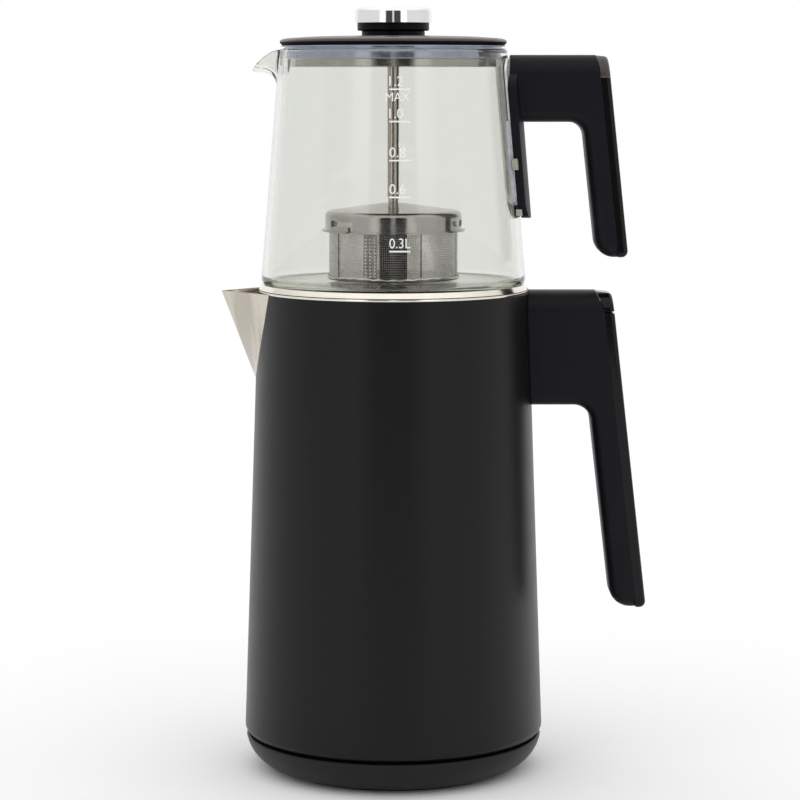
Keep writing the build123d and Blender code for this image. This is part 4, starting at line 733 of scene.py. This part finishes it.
def woven_sheet(name, node, finish, radius, low, high, first, last):
    """Plain weave between two angles: upright wires and hoops that pass in and out."""
    around = abs(last - first) > 2 * math.pi - 0.01
    spaces = 2 * round(radius * (last - first) / WIRE_PITCH / 2)
    columns = spaces if around else spaces + 1
    levels = round((high - low) / WIRE_PITCH)
    half = WIRE / 2
    square = ((-half, -half), (half, -half), (half, half), (-half, half))
    turns = [first + (last - first) * column / spaces for column in range(columns)]
    heights = [low + half + (high - low - WIRE) * level / levels for level in range(levels + 1)]
    points, faces = [], []
    for column, turn in enumerate(turns):
        start = len(points)
        for level, z in enumerate(heights):
            side = WEAVE if (column + level) % 2 else -WEAVE
            for out, across in square:
                points.append(polar(radius - side + out, turn + across / radius, z))
        faces += grid_faces(levels + 1, 4, close_columns=True, start=start)
        faces += square_ends(start, levels)
    for level, z in enumerate(heights):
        start = len(points)
        for column, turn in enumerate(turns):
            side = WEAVE if (column + level) % 2 else -WEAVE
            for out, rise in square:
                points.append(polar(radius + side + out, turn, z + rise))
        faces += grid_faces(columns, 4, close_rows=around, close_columns=True, start=start)
        if not around:
            faces += square_ends(start, spaces)
    piece = new_piece(name, "basket", finish, points, faces, smooth=False, slot="mesh_steel")
    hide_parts(node)
    return piece


def upright_strip(name, finish, turn_low, turn_high, inner, outer):
    """Strip from the band's top up, between two angles in degrees round from the front."""
    low, high = BAND_TOP_Z, seam_high.z
    points = []
    for column in range(STRIP_COLUMNS + 1):
        turn = math.radians(turn_low + (turn_high - turn_low) * column / STRIP_COLUMNS - 90)
        points += [polar(inner, turn, low), polar(outer, turn, low)]
        points += [polar(outer, turn, high), polar(inner, turn, high)]
    faces = [face[::-1] for face in grid_faces(STRIP_COLUMNS + 1, 4, close_columns=True)]
    faces += square_ends(0, STRIP_COLUMNS)
    return new_piece(name, "basket", finish, points, faces, smooth=False, slot="mesh_steel")


def add_weld_dot(points, faces, radius, turn, height):
    """Adds a flattened dome at an angle in radians round from +X."""
    centre = Vector(polar(radius, turn, height))
    out = Vector((centre.x, centre.y, 0)).normalized()
    across = Vector((-out.y, out.x, 0))
    start = len(points)
    for level in range(DOT_LEVELS):
        rise = math.radians(90 * level / DOT_LEVELS)
        for step in range(DOT_SIDES):
            spin = 2 * math.pi * step / DOT_SIDES
            flat = across * math.cos(spin) + Vector((0, 0, 1)) * math.sin(spin)
            dome = flat * math.cos(rise) + out * (math.sin(rise) * DOT_RISE)
            points.append(tuple(centre + dome * DOT_RADIUS * MM))
    top_ring = start + (DOT_LEVELS - 1) * DOT_SIDES
    tip = len(points)
    points.append(tuple(centre + out * DOT_RADIUS * DOT_RISE * MM))
    points.append(tuple(centre - out * DOT_ROOT * MM))
    faces += grid_faces(DOT_LEVELS, DOT_SIDES, close_columns=True, start=start)
    for step in range(DOT_SIDES):
        after = (step + 1) % DOT_SIDES
        faces.append([top_ring + step, top_ring + after, tip])
        faces.append([start + after, start + step, tip + 1])


woven_sheet(
    "basket_weave", "basket_mesh", "mesh_steel",
    woven_radius, mesh_low.z, mesh_high.z, 0.0, 2 * math.pi,
)
# The seam's weave, the sheet behind it and the stays are near black: a painted dark reflection and
# shade.
woven_sheet(
    "basket_seam_weave", "basket_seam", "shade_black_steel",
    seam_radius, BAND_TOP_Z, seam_high.z, -math.pi / 2 - seam_half, -math.pi / 2 + seam_half,
)
seam_spread = math.degrees(seam_half)
upright_strip(
    "basket_seam_shade_sheet", "shade_black_steel", -seam_spread, seam_spread,
    seam_radius - SHADE_SHEET_DEPTH - SHADE_SHEET_THICKNESS, seam_radius - SHADE_SHEET_DEPTH,
)
stay_spread = math.degrees(STAY_HALF / lap_radius)
for index, turn in enumerate(STAY_TURNS):
    upright_strip(
        f"basket_stay_{index}", "shade_black_steel", turn - stay_spread, turn + stay_spread,
        lap_radius, lap_radius + STAY_PROUD,
    )
upright_strip("basket_lap", "band_shade_steel", *LAP_SPAN, lap_radius, lap_radius + LAP_SHEET)
points, faces = [], []
dot_rows = int((seam_high.z - BAND_TOP_Z - DOT_MARGIN) / DOT_PITCH)
for turn in LAP_TURNS:
    for row in range(dot_rows):
        height = BAND_TOP_Z + DOT_MARGIN + row * DOT_PITCH
        add_weld_dot(points, faces, lap_radius + LAP_SHEET, math.radians(turn - 90), height)
new_piece("basket_weld_dots", "basket", "mesh_steel", points, faces)


# ---- basket's cup and hem ------------------------------------------------------------
BAND_SHEET = 0.5
BAND_CORNER = 1.2            # outer radius between the cup's floor and wall
BAND_EDGE = 0.15             # rounding of the wall's upper end
FLOOR_CORNER = 0.1           # of the two corners that only start and end the floor
HEM_Z = 254.3
HEM_HEIGHT = 0.9
HEM_DEPTH = 0.5              # its root lies this far inside the band's outer face
HEM_PROUD = 0.12
HEM_SLOPE = 0.1              # its outer face is shorter by this much at each end
HEM_WAVES = ((5, 0.35), (31, 0.2))   # waves round the basket, and their height

band_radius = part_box("basket_band")[1][1] / MM
band_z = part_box("basket_band")[0][2] / MM
floor_end = band_radius - BAND_CORNER * 4
cup_outline = rounded_outline(
    (
        (floor_end, band_z, FLOOR_CORNER),
        (band_radius, band_z, BAND_CORNER),
        (band_radius, BAND_TOP_Z, BAND_EDGE),
        (band_radius - BAND_SHEET, BAND_TOP_Z, BAND_EDGE),
        (band_radius - BAND_SHEET, band_z + BAND_SHEET, BAND_CORNER - BAND_SHEET),
        (floor_end, band_z + BAND_SHEET, FLOOR_CORNER),
    )
)
# One point stays of the first and the last arc, and the floor runs on to the axis.
cup_outline = cup_outline[CORNER_STEPS:-CORNER_STEPS]
cup_outline = [(0.0, band_z), *cup_outline, (0.0, band_z + BAND_SHEET)]
cup = turned_piece("basket_cup", "basket", "band_shade_steel", cup_outline, "polished_steel")
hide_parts("basket_band")

hem_outline = [
    (band_radius - HEM_DEPTH, HEM_Z),
    (band_radius + HEM_PROUD, HEM_Z + HEM_SLOPE),
    (band_radius + HEM_PROUD, HEM_Z + HEM_HEIGHT - HEM_SLOPE),
    (band_radius - HEM_DEPTH, HEM_Z + HEM_HEIGHT),
]
hem = turned_piece("basket_hem", "basket", "rim_steel", hem_outline, "mesh_steel")
for vertex in hem.data.vertices:
    turn = math.atan2(vertex.co.y, vertex.co.x)
    vertex.co.z += sum(high * math.sin(waves * turn) for waves, high in HEM_WAVES) * MM


# ---- dark line at the seam in the kettle's rolled rim, a painted shade ---------------
RIM_SEAM_DROP = 2.75         # below the rim's top
RIM_SEAM_HALF = 0.16
RIM_SEAM_DEPTH = 0.6
RIM_SEAM_PROUD = 0.02

rim_high_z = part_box("kettle_rim")[1][2] / MM
rim_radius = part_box("kettle_rim")[1][0] / MM
rim_seam_z = rim_high_z - RIM_SEAM_DROP
rim_seam_outline = [
    (rim_radius - RIM_SEAM_DEPTH, rim_seam_z - RIM_SEAM_HALF),
    (rim_radius + RIM_SEAM_PROUD, rim_seam_z - RIM_SEAM_HALF),
    (rim_radius + RIM_SEAM_PROUD, rim_seam_z + RIM_SEAM_HALF),
    (rim_radius - RIM_SEAM_DEPTH, rim_seam_z + RIM_SEAM_HALF),
]
turned_piece("rim_seam_shade_line", "kettle", "shade_black_steel", rim_seam_outline, "polished_steel")


# ---- dark sheet in the gap under the rocker, a painted shade -------------------------
GAP_SHADE_TOP = 0.2              # thickness above the strip's end
GAP_SHADE_ROOT = 0.1         # and below it
GAP_SHADE_CORNERS = ((107.8, 14.0), (110.0, 14.0), (111.7, 11.5))    # of its half at +Y

strip_top_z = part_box("kettle_handle_strip")[1][2] / MM
plan = [*GAP_SHADE_CORNERS, *((x, -y) for x, y in reversed(GAP_SHADE_CORNERS))]
sides = len(plan)
points = []
for height in (strip_top_z - GAP_SHADE_ROOT, strip_top_z + GAP_SHADE_TOP):
    points += [(x * MM, y * MM, height * MM) for x, y in plan]
faces = [[*range(sides)], [*range(2 * sides - 1, sides - 1, -1)]]
for corner in range(sides):
    after = (corner + 1) % sides
    faces.append([corner, corner + sides, after + sides, after])
new_piece(
    "rocker_gap_shade", "kettle", "lid_shade_black", points, faces, smooth=False, slot="foot_rubber"
)


# ---- trim beside the teapot handle's plate, with a pale strip that paints a highlight ---
PLATE_OUTSIDE = 1.55         # the plate's outer face stands this far out of the glass
HIGHLIGHT_STRIP_SPAN = (20.8, 23.8)   # its strip lies beside the plate, this far round the glass
HIGHLIGHT_STRIP_TOP_Z = 334.0
HIGHLIGHT_STRIP_DROP = 2.0            # above the plate's low end
HIGHLIGHT_STRIP_ROOT = 0.1            # its inner face stands this far out of the glass
HIGHLIGHT_STRIP_FACE = -0.55          # its outer face, from the plate's
HIGHLIGHT_STRIP_CORNER = 1.0
PAD_SPANS = ((309.4, 315.0), (286.4, 289.6))    # lowest and highest point of each pad
PAD_SIDE = (22.0, 24.6)      # how far round the glass they lie
PAD_DEPTH = 2.2
PAD_CORNER = 0.6
PAD_COLUMNS = 16
PAD_ROWS = 12


def wrapped_pad(name, finish, edge, seam, low, high, inner, outer, corner):
    """Thin pad bent round the glass from its free edge to its seam with the plate.

    edge and seam are distances round the glass from +X, inner and outer depths from the
    plate's outer face, and the two corners at the free edge are rounded.
    """
    points = []
    for depth in (inner, outer):
        for row in range(PAD_ROWS + 1):
            z = low + (high - low) * row / PAD_ROWS
            near = min(z - low, high - z)
            cut = 0.0
            if near < corner:
                cut = corner - math.sqrt(corner**2 - (corner - near) ** 2)
            left = edge + cut
            radius = glass_radius(z) + PLATE_OUTSIDE + depth
            for column in range(PAD_COLUMNS + 1):
                across = left + (seam - left) * column / PAD_COLUMNS
                points.append(polar(radius, across / radius, z))
    per_row = PAD_COLUMNS + 1
    per_side = (PAD_ROWS + 1) * per_row
    faces = [face[::-1] for face in grid_faces(PAD_ROWS + 1, per_row)]
    faces += grid_faces(PAD_ROWS + 1, per_row, start=per_side)
    border = [*range(per_row)]
    border += [row * per_row + PAD_COLUMNS for row in range(1, PAD_ROWS + 1)]
    border += [PAD_ROWS * per_row + column for column in range(PAD_COLUMNS - 1, -1, -1)]
    border += [row * per_row for row in range(PAD_ROWS - 1, 0, -1)]
    faces += ring_faces(border, per_side)
    return new_piece(name, "teapot", finish, points, faces, smooth=False)


plate_low = box_mm("teapot_handle_plate")[0]
# A pale strip beside the plate: a painted highlight of the glass's edge.
wrapped_pad(
    "highlight_strip_near", "highlight_strip_pale", -HIGHLIGHT_STRIP_SPAN[1], -HIGHLIGHT_STRIP_SPAN[0], plate_low.z + HIGHLIGHT_STRIP_DROP,
    HIGHLIGHT_STRIP_TOP_Z, HIGHLIGHT_STRIP_ROOT - PLATE_OUTSIDE, HIGHLIGHT_STRIP_FACE, HIGHLIGHT_STRIP_CORNER,
)
for index, (low, high) in enumerate(PAD_SPANS):
    wrapped_pad(
        f"glue_pad_near_{index}", "adhesive", -PAD_SIDE[1], -PAD_SIDE[0], low, high,
        0.0, PAD_DEPTH, PAD_CORNER,
    )


# ---- seal ----------------------------------------------------------------------------
SKIRT_RADIUS = 54.7
SKIRT_INSIDE = 52.32
FLANGE = 1.8                 # thickness between the glass's rim and the lid
GROOVE = 1.7                 # depth of the groove round the flange's edge
BEAD = 0.42                  # height of the flange's beads above and below the groove
GROOVE_SLOPE = 0.15          # the groove is narrower by this much at its bottom, on each side

seal_low, seal_high = box_mm("lid_seal")
flange_z = seal_high.z - FLANGE
seal_outline = rounded_outline(
    (
        (SKIRT_INSIDE, seal_low.z, 0.3),
        (SKIRT_RADIUS, seal_low.z, 0.7),
        (SKIRT_RADIUS, flange_z, 0.3),
        (seal_high.y, flange_z, 0.3),
        (seal_high.y, flange_z + BEAD, 0.25),
        (seal_high.y - GROOVE, flange_z + BEAD + GROOVE_SLOPE, 0.2),
        (seal_high.y - GROOVE, seal_high.z - BEAD - GROOVE_SLOPE, 0.2),
        (seal_high.y, seal_high.z - BEAD, 0.25),
        (seal_high.y, seal_high.z, 0.2),
        (SKIRT_INSIDE, seal_high.z, 0.2),
    )
)
seal = turned_piece("seal_lips", "lid", "seal_silicone", seal_outline)
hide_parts("lid_seal")

# A small raised mark on the skirt, slanted at its ends.
TAB_RADIUS = SKIRT_RADIUS - 0.05
TAB_TURNS = (math.radians(-41.0), math.radians(-31.8))     # round from +X
TAB_LOW = 1.0                # above the skirt's foot
TAB_HIGH = 3.4
TAB_SLANT = math.radians(1.0)
TAB_PROUD = 0.12
TAB_STEPS = 6

points = []
for depth in (0.0, TAB_PROUD):
    for level, slant in ((TAB_LOW, TAB_SLANT), (TAB_HIGH, 0.0)):
        for step in range(TAB_STEPS + 1):
            turn = TAB_TURNS[0] + (TAB_TURNS[1] - TAB_TURNS[0]) * step / TAB_STEPS + slant
            points.append(polar(TAB_RADIUS + depth, turn, seal_low.z + level))
per_row = TAB_STEPS + 1
per_side = 2 * per_row
faces = [face[::-1] for face in grid_faces(2, per_row)] + grid_faces(2, per_row, start=per_side)
faces += ring_faces([*range(per_row), *range(per_side - 1, per_row - 1, -1)], per_side)
new_piece("seal_mark", "lid", "inner_plastic", points, faces, smooth=False)


# ---- lid -----------------------------------------------------------------------------
LID_BORE = 5.75              # round the rod's bush
LID_CROWN = 0.9              # the top rises this much from its edge to its middle
LID_SHEET = 1.6
LID_SLOPE = 7.0              # width of the rounded edge
LID_UNDERCUT = 1.3           # the edge draws in this far above the seal
LID_NOSE = 1.9               # height of the edge's widest point
LID_STEPS = 12
CROWN_POWER = 5              # how flat the crown stays before it falls
SLOPE_POWER = 0.75           # how full the rounded edge is
UNDERCUT_STEPS = 4
LID_RECESS = 3.4             # the lid is hollow underneath from this far inside the skirt
LID_BOSS = 15.0              # to this far from the bore, where its middle reaches down

lid_low, lid_high = box_mm("lid_cap")
shoulder = (lid_high.y - LID_SLOPE, lid_high.z - LID_CROWN)
nose = (lid_high.y, lid_low.z + LID_NOSE)
lid_outline = [(LID_BORE, lid_high.z)]
for step in range(LID_STEPS + 1):
    share = step / LID_STEPS
    radius = LID_BORE + (shoulder[0] - LID_BORE) * share
    lid_outline.append((radius, lid_high.z - LID_CROWN * share**CROWN_POWER))
for step in range(1, LID_STEPS + 1):
    turn = math.radians(90 * step / LID_STEPS)
    height = nose[1] + (shoulder[1] - nose[1]) * math.cos(turn) ** SLOPE_POWER
    lid_outline.append((shoulder[0] + LID_SLOPE * math.sin(turn), height))
for step in range(1, UNDERCUT_STEPS + 1):
    share = step / UNDERCUT_STEPS
    lid_outline.append((nose[0] - LID_UNDERCUT * smoothstep(share), nose[1] - LID_NOSE * share))
lid_outline += [
    (SKIRT_INSIDE - LID_RECESS, lid_low.z),
    (SKIRT_INSIDE - LID_RECESS, lid_high.z - LID_CROWN - LID_SHEET),
    (LID_BORE + LID_BOSS, lid_high.z - LID_CROWN - LID_SHEET),
    (LID_BORE + LID_BOSS, lid_low.z),
    (LID_BORE, lid_low.z),
]
lid_top = turned_piece("lid_cap_turned", "lid", "lid_gloss", lid_outline[::-1], "gloss_black")
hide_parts("lid_cap")
lid_top.data.materials.append(finishes["lid_shade_black"])
# The lid is matt below its edge's widest point, and painted near black there: painted shade under
# its edge.
for face in lid_top.data.polygons:
    if face.center.z < nose[1] * MM:
        face.material_index = 1


# ---- floor ---------------------------------------------------------------------------
FLOOR_RADIUS = 1.6           # metres
FLOOR_SIDES = 96
FLOOR_COLOUR = (0.97, 0.97, 0.97)

floor_mesh = bpy.data.meshes.new("floor")
shape = bmesh.new()
bmesh.ops.create_circle(shape, cap_ends=True, radius=FLOOR_RADIUS, segments=FLOOR_SIDES)
shape.to_mesh(floor_mesh)
shape.free()
floor = linked("floor", floor_mesh)
floor_inputs = {"Base Color": rgba(FLOOR_COLOUR), "Roughness": 0.9, "Specular IOR Level": 0.0}
floor_material = new_material("floor_paint", floor_inputs)[0]
floor_mesh.materials.append(floor_material)


# ---- light ---------------------------------------------------------------------------
# A white tent, as strong as these shares of white. Angles are round from the camera's side.
FRONT_STRENGTH = 1.35
SIDE_STRENGTH = 0.82
BACK_STRENGTH = 1.0
TOP_STRENGTH = 1.15
FRONT_END = (math.radians(36), math.radians(44))     # the front fades to the side here
BACK_START = (math.radians(131), math.radians(135))
TOP_START = (0.35, 0.75)     # sines of the elevation, like GAP_END
GAP_STRENGTH = 0.05          # of the gap that the camera looks through
GAP_HALF = math.radians(20)  # it is this wide on each side, and gone at GAP_EDGE
GAP_EDGE = math.radians(25)
GAP_END = (0.38, 0.6)        # it closes above and below here
SLIT_STRENGTH = 0.6          # of the strip of light in the gap's middle
SLIT_HALF = math.radians(1.8)
SLIT_EDGE = SLIT_HALF + math.radians(1.5)

world = bpy.data.worlds.new("light_tent")
bpy.context.scene.world = world
world.use_nodes = True
world.cycles.sampling_method = "NONE"
graph = Graph(world.node_tree)
direction = graph.add("TexCoord", output="Generated")
split = graph.add("SeparateXYZ", {0: direction}).node
away = graph.math("MULTIPLY", split.outputs[1], -1.0)
azimuth = graph.math("ABSOLUTE", graph.math("ARCTAN2", split.outputs[0], away))
side = graph.span(azimuth, *FRONT_END, FRONT_STRENGTH, SIDE_STRENGTH)
side = graph.mix(graph.span(azimuth, *BACK_START), side, BACK_STRENGTH)
gap = graph.span(azimuth, GAP_HALF, GAP_EDGE, GAP_STRENGTH, 1.0)
slit = graph.span(azimuth, SLIT_HALF, SLIT_EDGE, SLIT_STRENGTH, 0.0)
gap = graph.math("MAXIMUM", gap, slit)
gap_top = graph.span(graph.math("ABSOLUTE", split.outputs[2]), *GAP_END)
side = graph.math("MULTIPLY", side, graph.math("MAXIMUM", gap, gap_top))
light = graph.mix(graph.span(split.outputs[2], *TOP_START), side, TOP_STRENGTH)
# The camera sees plain white, also through glass, but not by way of a reflection.
path = graph.add("LightPath").node
bounces = graph.math("ADD", path.outputs["Glossy Depth"], path.outputs["Diffuse Depth"])
straight = graph.math("LESS_THAN", bounces, 0.5)
through = graph.math("MULTIPLY", path.outputs["Is Transmission Ray"], straight)
seen = graph.math("MAXIMUM", path.outputs["Is Camera Ray"], through)
strength = graph.mix(seen, light, 1.0)
background = graph.add("Background", {"Color": (1, 1, 1, 1), "Strength": strength})
output = graph.tree.nodes.new("ShaderNodeOutputWorld")
graph.tree.links.new(background, output.inputs["Surface"])
